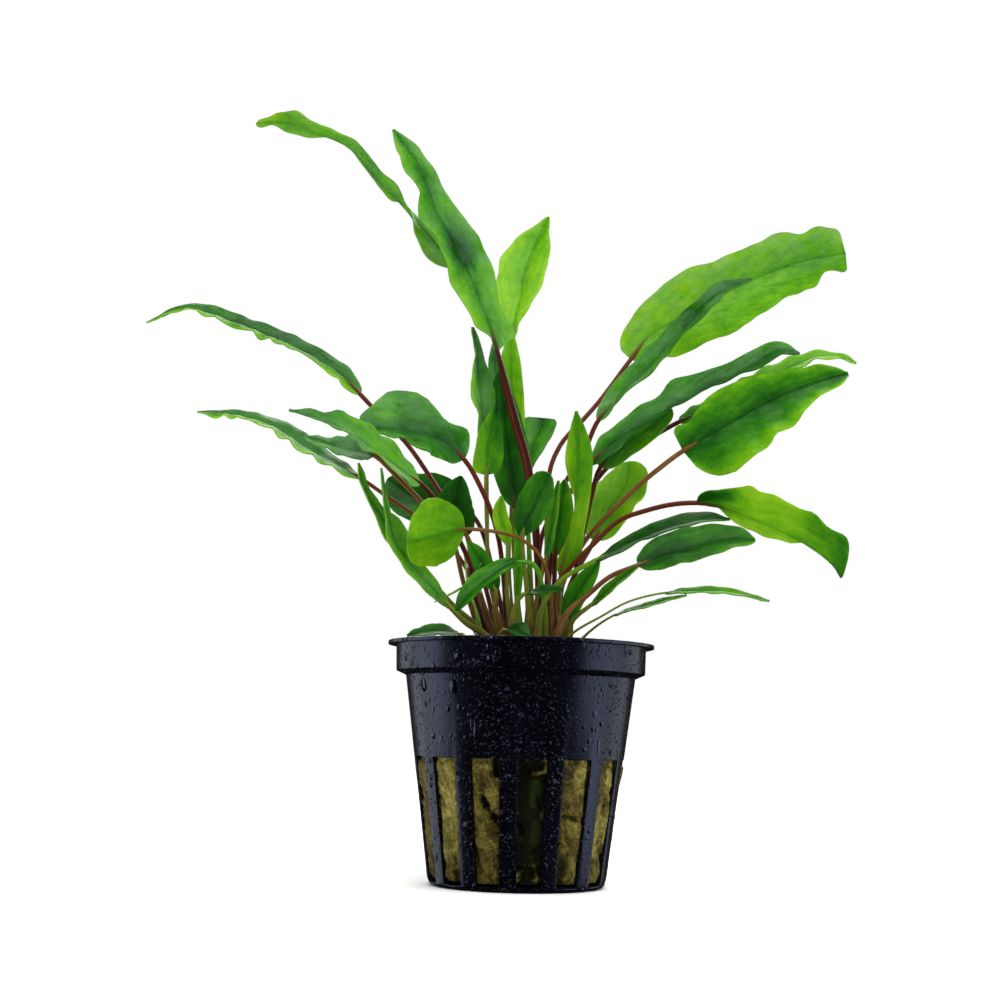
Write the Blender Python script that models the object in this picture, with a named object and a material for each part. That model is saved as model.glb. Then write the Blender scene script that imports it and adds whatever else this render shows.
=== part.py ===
"""Potted cryptocoryne: a water plant in its slotted growing pot.

A marsh plant with narrow green leaves grows from a short rootstock, which sits on
a plug of mineral wool in a black plastic pot with tall slots. Run it with
    blender --background --python part.py
or from the text editor. Units are metres, +Z is up, the front is -Y, and the
origin is the middle of the pot's base, on the surface that the pot stands on.
"""
import bisect
import math
from dataclasses import dataclass

import bmesh
import bpy
from mathutils import Matrix, Vector

MM = 0.001

# Driving dimensions of the pot, in millimetres
POT_HEIGHT = 50.0
FLANGE_RADIUS = 28.0
FLANGE_THICKNESS = 0.8
COLLAR_RADIUS = 26.3
COLLAR_BOTTOM = 43.8
STEP_HEIGHT = 0.9
BODY_TOP_RADIUS = 24.1
BASE_CORNER_RADIUS = 18.6
BASE_CORNER_RISE = 1.6
BASE_FLAT_RADIUS = 17.0
WALL = 1.0
BASE_THICKNESS = 1.2
POT_STEPS = 60

# The tall slots in the pot's wall
SLOT_COUNT = 14
RIB_WIDTH = 3.4
SLOT_BOTTOM = 0.9
SLOT_TOP = 26.1
FIRST_RIB_ANGLE = -5.6
SLOT_INNER_RADIUS = 15.5
SLOT_OUTER_RADIUS = 32.0

# What the pot holds
GAP = 0.3
WOOL_GAP = 0.4
WOOL_TOP = 45.2
WOOL_STEPS = 30
ROOTSTOCK_RADIUS = 15.0
ROOTSTOCK_TOP = 46.8
ROOTSTOCK_STEPS = 24
FOOT_HEIGHT = 47.2

# How a leaf's route is written. Its points are as the front shows them: an eye
# this high and this far in front of the pot's axis sees each point straight
# through (across, up) on the axis plane. The second number is the point's own
# depth, positive away from the front, so depth moves a leaf along its sight line.
EYE_HEIGHT = 30.3
EYE_DISTANCE = 350.0

# The form shared by all leaves
BLADE_THICKNESS = 0.7
TIP_WIDTH = 0.7
NARROWEST_HALF = 0.35
KEEL_SHARE = 0.24
SAMPLES_PER_SPAN = 12


@dataclass
class Leaf:
    """One leaf, stalk and blade together, as it grew.

    blade_start is the route point where the blade begins. faces says which way the
    blade's upper side faces, at one or more shares of the blade's length. shape
    holds the powers of the lance outline at the base and at the tip: a smaller
    one is rounder. lean makes one half wider than the other. low and high trim the
    half on the lower side and on the upper side, at even steps from base to tip.
    """
    route: tuple
    blade_start: int
    width: float
    faces: tuple
    shape: tuple = (0.52, 0.7)
    stalk: float = 1.3
    fold: float = 0.25
    lean: float = 0.0
    segments: int = 8
    low: tuple = (1,)
    high: tuple = (1,)


LEAVES = {
    # High leaves at the upper left and upper middle
    "leaf_01": Leaf(
        ((2.2, 0.4, 47), (3.2, 1.0, 62), (0.9, 1.2, 84), (-4.2, 2.2, 103), (-8.5, 5.5, 121),
         (-15.2, 9, 131.3), (-21.1, 11, 137.6), (-28, 13, 146.2), (-33.3, 14, 151.6),
         (-39.5, 15, 158.5), (-46.5, 15.6, 161.8), (-54.1, 16.2, 164.2), (-60.9, 17, 163.6)),
        5, 8.5, ((0.2, (0.45, -0.85, 0.4)), (0.34, (0.7, 0.15, 0.6)), (0.74, (0.4, 0, 0.9)),
                 (0.9, (-0.1, 0.75, 0.6))), shape=(0.32, 0.45), segments=13,
        low=(1, 1.6, 1.4, 1.05, 0.8, 0.45, 0.3, 0.6, 0.75, 1, 1.2, 1.15, 1.3, 1.15, 1, 1.1, 1, 1.2,
             1.05, 0.7, 1),
        high=(1, 0.4, 0.2, 0.3, 0.5, 0.7, 0.5, 0.4, 1.15, 1.3, 1.8, 1.9, 1.35, 0.6, 0.3, 0.7, 1.1,
              1.05, 0.95, 0.35, 1)),
    "leaf_02": Leaf(
        ((3.7, -2.6, 47), (3.6, -3.5, 66), (1.4, -3, 86), (-1.9, -2, 98), (-6.5, -0.5, 113.4),
         (-9.4, 1, 122), (-16, 3, 137.4), (-20.6, 4.5, 144.8), (-24.5, 6, 154.4), (-30.5, 7, 162.9)),
        4, 9.0, ((0, (0.3, -0.9, 0.2)), (1, (0.5, -0.8, 0.2))), shape=(0.42, 0.62), segments=10,
        low=(0.5, 0.2, 0.95, 1, 1.05, 1.1, 1.2, 1.1, 1, 1, 1, 1.1, 1.25, 1, 0.7, 0.9, 1.35, 1.5, 1.5,
             1.3, 1),
        high=(1, 2, 1.3, 1.1, 1.05, 1.15, 1.25, 1.3, 1.3, 1.25, 1.2, 1.2, 1.2, 1.05, 1.05, 1, 1,
             1.1, 1.4, 1.1, 1)),
    "leaf_03": Leaf(
        ((0.4, 7, 47), (-2, 12, 70), (-2.6, 16.5, 88), (-2.8, 19, 103), (-3.2, 21, 116),
         (-2, 25, 124.6), (-0.4, 30, 133), (4.2, 35, 143.5)),
        4, 11.0, ((0, (-0.1, -0.85, 0.5)),), shape=(0.8, 0.62),
        low=(1, 2, 1.8, 1.5, 1.25, 1.1, 1.2, 1.05, 0.95, 0.65, 0.6),
        high=(1, 0.5, 0.7, 0.8, 0.95, 0.95, 0.95, 0.9, 0.75, 0.5, 0.4)),
    "leaf_04": Leaf(
        ((1.1, 3.8, 47), (1.4, 5, 66), (0.4, 7.4, 80), (-1.6, 10, 92), (-3.2, 12, 104),
         (-3.5, 13.4, 111.1), (-3.7, 15, 117.9)),
        3, 5.5, ((0, (0.1, -0.9, 0.4)),), segments=6),
    "leaf_05": Leaf(
        ((-3.2, 3.2, 47), (-7, 2.6, 65), (-7.8, 2.4, 80), (-8.2, 2.2, 91), (-9.2, 2, 101),
         (-10.4, 2.4, 110), (-11.8, 3, 118.4)),
        3, 6.5, ((0, (0.65, -0.7, 0.2)),), segments=7,
        low=(1, 1, 0.8, 0.6, 1, 1, 0.75, 0.5, 0.25, 0.3, 1),
        high=(1, 1, 1, 1, 1, 1, 1, 0.7, 0.8, 0.65, 1)),
    "leaf_06": Leaf(
        ((-1, 3.2, 47), (-2.8, 5, 66), (-2.8, 7, 82), (-3.6, 8.4, 95), (-5, 8.8, 102), (-6.5, 9.2, 108),
         (-7.3, 9.6, 114.6)),
        3, 5.0, ((0, (0.5, -0.75, 0.3)),), segments=6),
    # The dense middle
    "leaf_07": Leaf(
        ((2.9, 7.2, 47), (1.6, 8, 66), (0.4, 10.4, 84.5), (1.2, 13.4, 91.6), (3.6, 19.5, 98.6)),
        2, 9.0, ((0, (-0.1, -0.7, 0.65)),), shape=(1.0, 0.25), segments=6,
        high=(0.9,)),
    "leaf_08": Leaf(
        ((-2.1, 0, 47), (-6.8, -0.5, 62), (-7.8, -1, 74), (-8.3, -1, 86), (-7.8, -1.4, 93),
         (-6.2, -2, 102.4)),
        3, 7.0, ((0, (0.1, -0.95, 0.1)),), shape=(0.35, 1.1), segments=6,
        low=(1, 0.9, 0.8, 0.8, 0.8, 0.9, 1, 1, 1, 1, 1)),
    "leaf_09": Leaf(
        ((-0.4, -2.9, 47), (-1.2, -1.5, 62), (-0.8, 1, 73), (-1.7, 3, 79), (-3, 4.8, 88),
         (-4.4, 5.6, 97), (-6, 6.2, 108.6)),
        3, 8.5, ((0, (0.1, -0.95, 0.1)),)),
    "leaf_10": Leaf(
        ((2.5, -9, 47), (0.9, -8.8, 62), (-0.2, -9.4, 73), (2.3, -13, 80), (5.2, -18, 86.5)),
        2, 7.5, ((0, (-0.1, -0.9, 0.3)),), shape=(0.5, 0.45), segments=6),
    "leaf_11": Leaf(
        ((0.2, -8, 47), (-1, -6.8, 58), (-0.9, -6.3, 66), (-1.2, -6, 78.5)),
        1, 2.0, ((0, (0, -1, 0)),), segments=4),
    "leaf_12": Leaf(
        ((4.7, -9.2, 47), (4.8, -10.4, 57), (4, -11.8, 63), (2.6, -13, 66.6), (0.2, -14, 67.4),
         (-2.5, -15, 67.1), (-5.5, -16, 65.3), (-10.1, -17.5, 61.6), (-14, -19, 56.8)),
        4, 6.5, ((0, (0, -0.5, 0.85)),), segments=8,
        low=(1, 0.8, 0.6, 0.6, 0.6, 0.8, 1)),
    "leaf_13": Leaf(
        ((-0.3, -11.8, 47), (-2, -12.5, 54), (-1, -13.5, 59), (1, -14.5, 60.8), (4.5, -16, 61.4),
         (8.6, -17.5, 61.6)),
        3, 4.5, ((0, (0, -0.5, 0.85)),), stalk=1.1, segments=5),
    "leaf_14": Leaf(
        ((-2.6, -11.2, 47), (-4.6, -13.4, 51.4), (-3.6, -15, 52.8), (-1.2, -17, 53.3),
         (1.6, -18.5, 51.4)),
        2, 4.6, ((0, (0, -0.6, 0.8)),), stalk=1.1, segments=5),
    "leaf_15": Leaf(
        ((-8.4, 7, 47), (-10.8, 6.6, 50), (-13.2, 6.2, 51.8), (-18.1, 5.6, 52.5), (-24.2, 5, 51.3)),
        2, 5.5, ((0, (0, -0.5, 0.9)),), stalk=1.1, segments=6),
    # Leaves to the left
    "leaf_16": Leaf(
        ((-3.9, 6.2, 47), (-8.2, 6.4, 63), (-12.2, 7, 73), (-18.4, 7.5, 82.5), (-24.8, 8, 91.6),
         (-30.6, 8.5, 97.6), (-36, 9, 103.2), (-41.8, 9.5, 108.8), (-51.9, 10.5, 114.3),
         (-63, 11.5, 118.7), (-74, 12.5, 121.7), (-83, 13.5, 118.2)),
        6, 10.0, ((0, (0.2, -0.5, 0.83)), (1, (0, -0.4, 0.9))), shape=(0.4, 0.7),
        segments=12, low=(1, 0.6, 0.6, 0.65, 0.75, 0.85, 0.95, 1, 1, 1, 1),
        high=(1, 1, 0.9, 0.8, 0.75, 0.7, 0.75, 0.9, 1, 1, 1)),
    "leaf_17": Leaf(
        ((-2.5, -2.8, 47), (-4.4, -4.1, 67), (-6.2, -5, 75.6), (-9, -5.5, 82.5), (-13.1, -6.5, 89.3),
         (-19.7, -9.5, 94.6), (-27.1, -13.4, 96), (-35.1, -18, 95.8)),
        4, 15.5, ((0, (0, -0.85, 0.5)), (1, (-0.2, -0.8, 0.6))), shape=(0.5, 0.5), lean=0.35, segments=9,
        low=(1, 0.8, 1, 1.25, 1.5, 1.5, 1.4, 1.2, 1.1, 1, 1),
        high=(1, 1.05, 0.65, 0.5, 0.85, 1.1, 1.1, 0.95, 0.8, 0.75, 1)),
    "leaf_18": Leaf(
        ((-5.7, -5.4, 47), (-10.4, -8, 61), (-11.2, -10, 66.5), (-14.6, -13, 73.6), (-18.4, -16, 79.6),
         (-22.3, -19, 83.8), (-26.9, -21.5, 87.2), (-31.8, -23.5, 91), (-37.9, -25.5, 95),
         (-44.4, -27, 97.6), (-51.1, -28, 99.4)),
        5, 10.0, ((0, (0.35, -0.6, 0.72)), (1, (0.1, -0.6, 0.8))), shape=(0.5, 0.9), segments=10,
        low=(1, 0.9, 0.6, 0.5, 0.7, 0.8, 0.35, 0.65, 0.4, 0.3, 1),
        high=(1, 1.3, 1.25, 1.2, 1.15, 1.2, 1.25, 1.3, 1.05, 1.05, 1)),
    "leaf_19": Leaf(
        ((-5.8, 3.6, 47), (-9.6, 3.8, 60), (-12.8, 4, 67), (-18.2, 4, 73.2), (-24.4, 3.5, 77.6),
         (-29.6, 3, 81), (-35.1, 2, 84.7), (-40.1, 1.5, 87.6), (-46.5, 1, 91.2), (-53.1, 0.5, 95.4),
         (-61.6, 0, 98), (-70.9, 0, 98.6)),
        6, 9.0, ((0, (0.25, -0.4, 0.88)), (1, (0, -0.35, 0.93))), segments=10),
    "leaf_20": Leaf(
        ((-7, 0.4, 47), (-12.3, -1.5, 62), (-15.1, -3, 71.6), (-21.2, -5.5, 79), (-27.2, -8, 85),
         (-32.5, -10, 89.8), (-39.4, -12, 91.6), (-47.7, -13, 93.6)),
        5, 7.5, ((0, (0.2, -0.6, 0.75)),), segments=7,
        low=(1, 1.3, 1.3, 1.2, 1.2, 1.1, 1, 1, 1, 1, 1),
        high=(1, 2.2, 2, 1.6, 1.2, 0.9, 0.6, 0.5, 0.5, 0.5, 1)),
    "leaf_21": Leaf(
        ((-4.6, -9, 47), (-7.8, -11, 51.8), (-11.6, -13, 54), (-15.3, -14.6, 57.5), (-20.1, -16, 62.7),
         (-24.9, -18, 68.1), (-27.4, -19.5, 72.3), (-29.3, -20.5, 78.1), (-30.7, -21.5, 87)),
        3, 5.5, ((0, (0.6, -0.65, 0.4)),), segments=8,
        low=(1, 1, 1, 1, 1, 1, 0.9, 0.4, 0.3, 0.3, 0.5),
        high=(1, 1, 1, 1, 1, 1, 0.9, 0.4, 0.3, 0.3, 0.5)),
    "leaf_22": Leaf(
        ((-7, -2.8, 47), (-9.2, -4.6, 53), (-14.8, -7, 58), (-20.8, -9, 64.6), (-25.6, -11, 70.6),
         (-30.8, -13, 77.2), (-34.2, -15, 82.8), (-35.6, -16.5, 88)),
        3, 7.0, ((0, (0.6, -0.7, 0.4)),), segments=8,
        low=(1, 1, 1, 1, 1, 0.8, 0.45, 0.4, 0.4, 0.5, 0.6),
        high=(1, 1, 1, 1, 1, 0.8, 0.45, 0.4, 0.4, 0.5, 0.6)),
    "leaf_23": Leaf(
        ((-1.8, 6.6, 47), (-6, 9.5, 64), (-9.4, 12, 75), (-14.2, 14.5, 79.3), (-19.5, 17, 80.1),
         (-24.7, 19, 81.5), (-29.3, 20.5, 84.8)),
        3, 13.0, ((0, (0, -0.95, 0.3)),), shape=(0.4, 0.6), segments=7),
    "leaf_24": Leaf(
        ((-4.4, 0.2, 47), (-9.4, -0.8, 62), (-12, -3, 72.8), (-14.4, -3.6, 79), (-13.6, -4, 85.6)),
        2, 8.5, ((0, (0.25, -0.95, 0.05)),), segments=6,
        high=(0.8,)),
    "leaf_25": Leaf(
        ((6.1, -5.8, 47), (6.1, -8.9, 60), (4.6, -10, 66.8), (1.4, -11.4, 71), (-3.6, -12.6, 73.3),
         (-12.6, -14.6, 74.2), (-17.8, -18, 73.1), (-24.8, -25, 71.2)),
        5, 15.0, ((0, (0.1, 0.95, 0.3)), (1, (-0.3, 0.85, 0.4))), shape=(0.5, 0.5), segments=7,
        high=(0.9,)),
    "leaf_26": Leaf(
        ((-3, -6, 47), (-5.6, -6.2, 56), (-5.6, -6.6, 61), (-8.7, -7, 67), (-11.8, -7.4, 71.6)),
        2, 5.0, ((0, (0.4, -0.85, 0.3)),), segments=5),
    # Leaves to the right
    "leaf_27": Leaf(
        ((6, -2.6, 47), (7.6, -3.2, 56), (8.2, -5, 64.8), (9.6, -7.6, 72), (11.3, -10.5, 79),
         (11.5, -12, 87), (11.4, -13, 94), (10.9, -14, 100.2)),
        2, 6.5, ((0, (0.2, 0.9, 0.2)),), segments=8,
        low=(1, 1.1, 1.15, 0.85, 0.7, 0.8, 0.95, 1.1, 1.2, 1.1, 1),
        high=(1, 0.6, 0.2, 0.15, 0.15, 0.3, 0.7, 1.05, 1.15, 1.1, 1)),
    "leaf_28": Leaf(
        ((5, 6.9, 47), (5.2, 8, 66), (5, 9, 84), (7.4, 11, 92.4), (12.5, 12.5, 98.5), (16.6, 14, 103.5),
         (22.6, 16, 112), (26.6, 17, 117.2), (33.3, 18.5, 121.2), (42, 19.8, 126.6),
         (51.9, 21.2, 131.6), (60.6, 22.3, 134.8), (69, 23, 136.4)),
        6, 16.0, ((0, (-0.3, -1, -0.25)), (1, (-0.15, -1, -0.1))), shape=(0.28, 0.26), segments=13,
        low=(1, 1, 0.95, 1.05, 1.1, 1.15, 1.15, 1.15, 1.15, 1.05, 0.95, 0.95, 0.95, 0.95, 0.95, 1.05,
             1, 0.9, 1.15, 1.2, 1.5),
        high=(1, 1, 1, 1.05, 1.05, 1.05, 1.05, 1.1, 1.15, 1.1, 1.05, 1, 1, 0.95, 0.9, 0.95, 0.95, 0.95,
             0.6, 0.7, 1.2)),
    "leaf_29": Leaf(
        ((3.6, 3.6, 47), (3.2, 3.8, 60), (3.6, 4, 71), (5.6, 4.2, 77.4), (8.4, 4.6, 84),
         (12.6, 5.2, 91.2), (15.7, 6, 98.4), (21, 7, 104.5), (27, 8, 111.7), (33.2, 8.5, 118.5),
         (40.1, 8.5, 126.3), (48.4, 8, 130.4)),
        6, 9.6, ((0, (-0.7, -0.48, 0.54)), (1, (-0.65, -0.6, 0.45))), shape=(0.4, 0.7), segments=10,
        low=(1, 1.5, 1.4, 1.2, 1, 1, 1.05, 1, 1, 1.6, 1),
        high=(1, 0.3, 0.35, 1.05, 1, 0.75, 0.8, 1.15, 1.3, 0.4, 1)),
    "leaf_30": Leaf(
        ((5.8, 3.6, 47), (5.6, 2.4, 62), (6.7, 1.6, 72), (8.8, 0.8, 80.4), (14.3, 0, 88.8),
         (18.6, 0, 93.6), (24, 0, 97.6), (36.2, 0, 104.9), (46.3, 0, 110.2), (54, 0, 114.6),
         (59, 0, 114)),
        4, 11.0, ((0, (-0.35, -0.6, 0.72)), (1, (-0.2, -0.6, 0.75))), segments=11,
        low=(1, 1.1, 0.95, 0.95, 1, 1.5, 1.05, 1, 1, 1.6, 1),
        high=(1, 1, 0.5, 0.4, 0.45, 0.45, 0.45, 0.65, 0.95, 1.5, 1.5)),
    "leaf_31": Leaf(
        ((7.2, 7, 47), (8.4, 7.4, 62), (11, 8, 74), (13.4, 9, 81.6), (17.1, 10, 87.4), (22.2, 11, 91.9),
         (27.4, 12, 95), (33.2, 12.5, 98.4), (42.6, 13.5, 103), (52.7, 14, 109), (61.5, 14, 113),
         (66.9, 14, 113.5), (71.2, 14, 112)),
        7, 8.0, ((0, (-0.3, -0.7, 0.62)), (0.4, (-0.1, -0.5, 0.85))), shape=(0.36, 0.5), segments=9),
    "leaf_32": Leaf(
        ((7.2, 0.2, 47), (7.9, 0.6, 60), (10.9, -1.6, 68.2), (15.4, -3.6, 75), (24.2, -6.5, 84),
         (29, -7.5, 88.2), (33.9, -8, 92), (41.7, -9.5, 97), (50.3, -10.5, 102.2), (59.6, -11.5, 106.6),
         (69.4, -12, 109.6)),
        6, 17.0, ((0, (-0.3, -1, 0)), (1, (-0.15, -1, 0.2))), shape=(0.28, 0.8), lean=0.15, segments=10,
        low=(1, 0.65, 0.8, 1, 1, 1, 0.95, 1, 1.05, 1.5, 1.8),
        high=(1, 1.1, 1.05, 0.95, 0.95, 0.85, 1, 0.85, 0.75, 0.9, 1.4)),
    "leaf_33": Leaf(
        ((8.4, 3.6, 47), (9.6, 5, 61), (15.2, 7, 72.4), (18.2, 10, 79.6), (21.5, 14, 84.6),
         (22.5, 18, 89.5)),
        2, 12.5, ((0, (-0.35, -0.85, 0.4)),), shape=(0.45, 0.5), segments=7),
    "leaf_34": Leaf(
        ((7.9, -3.9, 47), (6.9, -7, 60.5), (9.8, -8, 66), (15.2, -9.7, 71.7), (20.3, -11, 76.6),
         (25.8, -12.5, 78.8), (31.4, -14.5, 80.3), (37, -16.4, 80.8), (41.5, -17.6, 80.4),
         (46.4, -18.6, 79), (51.8, -20, 77), (57, -21, 74.6), (62, -22, 71.8), (66, -23, 68.4),
         (67.7, -24, 65.4)),
        7, 12.0, ((0.35, (0.1, 0.6, 0.8)), (0.8, (0.75, 0.5, 0.4))), shape=(0.42, 0.55), segments=11,
        low=(0.2, 0.1, 0.5, 0.8, 0.8, 0.65, 0.5, 0.1, 0.1, 0.15, 0.2),
        high=(1, 0.95, 1.05, 1.2, 1.15, 1.1, 1.15, 1.25, 1.45, 1.9, 1)),
    "leaf_35": Leaf(
        ((3.2, -11.6, 47), (4, -12, 57), (8.2, -13.4, 63.6), (15.5, -15, 68), (21.7, -16.5, 71.6),
         (29.1, -18, 75), (36.6, -19, 77), (44, -19.5, 77.5)),
        3, 7.5, ((0, (-0.3, -0.4, 0.85)),), segments=8,
        low=(1, 1, 1, 1, 1, 1.1, 1.2, 1.4, 1.7, 2, 1)),
    "leaf_36": Leaf(
        ((5.9, -10.5, 47), (9.4, -11.4, 56.4), (13.7, -10.6, 60.4), (18.6, -9.2, 64.6),
         (24.6, -7.6, 67.2), (30.2, -7.4, 70), (37.6, -8, 72), (43.6, -8.5, 73.3), (49.4, -9, 73)),
        4, 11.0, ((0, (-0.2, -0.7, 0.7)),), shape=(0.42, 0.6), segments=8),
    "leaf_37": Leaf(
        ((8.6, -7.6, 47), (10.5, -9.4, 54.7), (14.6, -11, 58.5), (19.5, -12.5, 63.2), (24.5, -13.5, 67)),
        2, 3.6, ((0, (-0.5, -0.5, 0.7)),), stalk=1.1, segments=6),
    "leaf_38": Leaf(
        ((7.2, -12, 47), (10.8, -13.8, 52.4), (17, -16.4, 56.2), (22.7, -18.2, 59.4),
         (30.3, -19.8, 61.4), (39.4, -21, 62.1), (45.8, -21.5, 61.6), (52.4, -22, 60.2)),
        4, 4.5, ((0, (0, -0.35, 0.94)),), stalk=0.9, segments=7),
    "leaf_39": Leaf(
        ((10.2, -9.6, 47), (13.9, -9.8, 52.4), (19.7, -12, 56.5), (26.7, -14, 58.8),
         (34.8, -15.5, 61.1)),
        2, 3.6, ((0, (0, -0.35, 0.94)),), stalk=0.9, segments=6),
    "leaf_40": Leaf(
        ((9.2, -5.4, 47), (9.3, -7, 54.8), (10.7, -7.8, 59), (12.9, -8.2, 63), (16.2, -8.4, 67.8)),
        1, 4.8, ((0, (-0.3, -0.9, 0.2)),), segments=6),
    # Young leaves among the stalks
    "leaf_41": Leaf(
        ((-0.9, -5.5, 47), (-3.2, -5.9, 60), (-3.3, -6.1, 71), (-5, -6, 77), (-4.8, -6.4, 81.4)),
        2, 3.6, ((0, (0.3, -0.9, 0.2)),), stalk=1.1, segments=5),
    "leaf_42": Leaf(
        ((1.8, -3.2, 47), (3.2, -5.4, 60), (4.8, -6, 68), (6.2, -6.4, 77), (7.2, -7, 85)),
        2, 3.6, ((0, (-0.8, -0.5, 0.2)),), stalk=1.1, segments=6),
    "leaf_43": Leaf(
        ((9.7, 0.4, 47), (10.8, 0.8, 62), (12.7, 1.6, 73.4), (14.5, 2.6, 82.1), (16.3, 3.4, 88.2),
         (21.2, 4, 92.9), (26.5, 4.2, 96.9), (31.4, 4.2, 101.2)),
        4, 8.5, ((0, (-0.3, -0.9, 0.2)),), shape=(0.4, 0.5), segments=7),
    "leaf_44": Leaf(
        ((5, 0.5, 47), (6.6, -0.8, 60), (6.9, -1.6, 69), (7.8, -2.4, 77.6), (8.6, -3, 85.2)),
        2, 6.0, ((0, (-0.2, -0.95, 0.1)),), segments=6),
}


def clear_scene():
    """Start from an empty file without closing the one that this runs from."""
    for found in list(bpy.data.objects):
        bpy.data.objects.remove(found, do_unlink=True)


def material(name, color, roughness):
    """Return a plain Principled material."""
    made = bpy.data.materials.new(name)
    made.use_nodes = True
    shader = made.node_tree.nodes["Principled BSDF"]
    shader.inputs["Base Color"].default_value = (*color, 1)
    shader.inputs["Roughness"].default_value = roughness
    shader.inputs["Metallic"].default_value = 0
    return made


def add_object(name, bm, finish, parent=None, smooth_angle=35):
    """Turn a bmesh in millimetres into a smooth-shaded object in metres."""
    bm.transform(Matrix.Scale(MM, 4))
    bmesh.ops.recalc_face_normals(bm, faces=bm.faces)
    mesh = bpy.data.meshes.new(name)
    bm.to_mesh(mesh)
    bm.free()
    mesh.shade_smooth()
    mesh.set_sharp_from_angle(angle=math.radians(smooth_angle))
    mesh.materials.append(finish)
    made = bpy.data.objects.new(name, mesh)
    bpy.context.scene.collection.objects.link(made)
    made.parent = parent
    return made


def turned(profile, steps):
    """Spin a profile of (radius, height) points once round the Z axis."""
    bm = bmesh.new()
    verts = [bm.verts.new((radius, 0, height)) for radius, height in profile]
    edges = [bm.edges.new(pair) for pair in zip(verts, verts[1:])]
    bmesh.ops.spin(
        bm, geom=verts + edges, cent=(0, 0, 0), axis=(0, 0, 1), dvec=(0, 0, 0),
        angle=math.tau, steps=steps, use_merge=True)
    bmesh.ops.remove_doubles(bm, verts=bm.verts, dist=0.001)
    return bm


def body_radius(height):
    """Outer radius of the pot's tapering wall at a height."""
    top = COLLAR_BOTTOM - STEP_HEIGHT
    share = (height - BASE_CORNER_RISE) / (top - BASE_CORNER_RISE)
    return BASE_CORNER_RADIUS + share * (BODY_TOP_RADIUS - BASE_CORNER_RADIUS)


def pot_profile():
    """Cross-section of the pot, from the base's middle out, up, over and back in."""
    top = COLLAR_BOTTOM - STEP_HEIGHT
    inner_corner = BASE_CORNER_RISE + 0.8
    return [
        (0, 0),
        (BASE_FLAT_RADIUS, 0),
        (BASE_CORNER_RADIUS - 0.45, 0.5),
        (BASE_CORNER_RADIUS, BASE_CORNER_RISE),
        (BODY_TOP_RADIUS, top),
        (COLLAR_RADIUS - 0.15, COLLAR_BOTTOM),
        (COLLAR_RADIUS, POT_HEIGHT - FLANGE_THICKNESS),
        (FLANGE_RADIUS, POT_HEIGHT - FLANGE_THICKNESS),
        (FLANGE_RADIUS, POT_HEIGHT),
        (COLLAR_RADIUS - WALL, POT_HEIGHT),
        (COLLAR_RADIUS - WALL - 0.15, COLLAR_BOTTOM + WALL / 2),
        (BODY_TOP_RADIUS - WALL, top + WALL / 2),
        (body_radius(inner_corner) - WALL, inner_corner),
        (BASE_FLAT_RADIUS - WALL, BASE_THICKNESS),
        (0, BASE_THICKNESS),
    ]


def slot_cutter():
    """All the slots as one set of upright prisms, each between two equal ribs."""
    bm = bmesh.new()
    pitch = math.tau / SLOT_COUNT
    half = RIB_WIDTH / 2

    def corner(radius, rib_angle, side):
        along = math.sqrt(radius * radius - half * half)
        across = side * half
        cos_a = math.cos(rib_angle)
        sin_a = math.sin(rib_angle)
        return (along * cos_a - across * sin_a, along * sin_a + across * cos_a, SLOT_BOTTOM)

    for number in range(SLOT_COUNT):
        rib = math.radians(FIRST_RIB_ANGLE - 90) + number * pitch
        following = rib + pitch
        outline = [
            corner(SLOT_INNER_RADIUS, rib, 1),
            corner(SLOT_OUTER_RADIUS, rib, 1),
            corner(SLOT_OUTER_RADIUS, following, -1),
            corner(SLOT_INNER_RADIUS, following, -1),
        ]
        face = bm.faces.new([bm.verts.new(point) for point in outline])
        raised = bmesh.ops.extrude_face_region(bm, geom=[face])["geom"]
        lifted = [item for item in raised if isinstance(item, bmesh.types.BMVert)]
        bmesh.ops.translate(bm, verts=lifted, vec=(0, 0, SLOT_TOP - SLOT_BOTTOM))
    return bm


def make_pot(parent):
    """The slotted pot with its stepped collar and thin flange."""
    finish = material("pot_plastic", (0.012, 0.014, 0.022), 0.3)
    pot = add_object("pot", turned(pot_profile(), POT_STEPS), finish, parent)
    cutter = add_object("slot_cutter", slot_cutter(), finish, parent)
    cutter.hide_render = True
    cutter.display_type = "WIRE"
    cut = pot.modifiers.new("slots", "BOOLEAN")
    cut.operation = "DIFFERENCE"
    cut.solver = "EXACT"
    cut.object = cutter
    return pot


def make_wool(parent):
    """The plug of mineral wool that fills the pot to just below the step."""
    low = BASE_THICKNESS + GAP
    inner_corner = BASE_CORNER_RISE + 0.8
    step = COLLAR_BOTTOM - STEP_HEIGHT
    profile = [
        (0, low),
        (BASE_FLAT_RADIUS - WALL - WOOL_GAP, low),
        (body_radius(inner_corner) - WALL - WOOL_GAP, inner_corner + GAP),
        (body_radius(step) - WALL - WOOL_GAP, step),
        (BODY_TOP_RADIUS - WALL - 1.2, WOOL_TOP - 0.6),
        (ROOTSTOCK_RADIUS + 3, WOOL_TOP),
        (0, WOOL_TOP),
    ]
    finish = material("mineral_wool", (0.16, 0.14, 0.05), 0.95)
    return add_object("mineral_wool", turned(profile, WOOL_STEPS), finish, parent)


def make_rootstock(parent):
    """The short crown that the leaves grow from, a low lumpy cake on the wool."""
    low = WOOL_TOP + GAP
    profile = [
        (0, low),
        (ROOTSTOCK_RADIUS - 1.2, low),
        (ROOTSTOCK_RADIUS, low + 0.5),
        (ROOTSTOCK_RADIUS - 0.6, ROOTSTOCK_TOP - 0.3),
        (ROOTSTOCK_RADIUS - 1.8, ROOTSTOCK_TOP),
        (0, ROOTSTOCK_TOP),
    ]
    finish = material("rootstock", (0.09, 0.055, 0.03), 0.8)
    return add_object("rootstock", turned(profile, ROOTSTOCK_STEPS), finish, parent)


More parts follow.
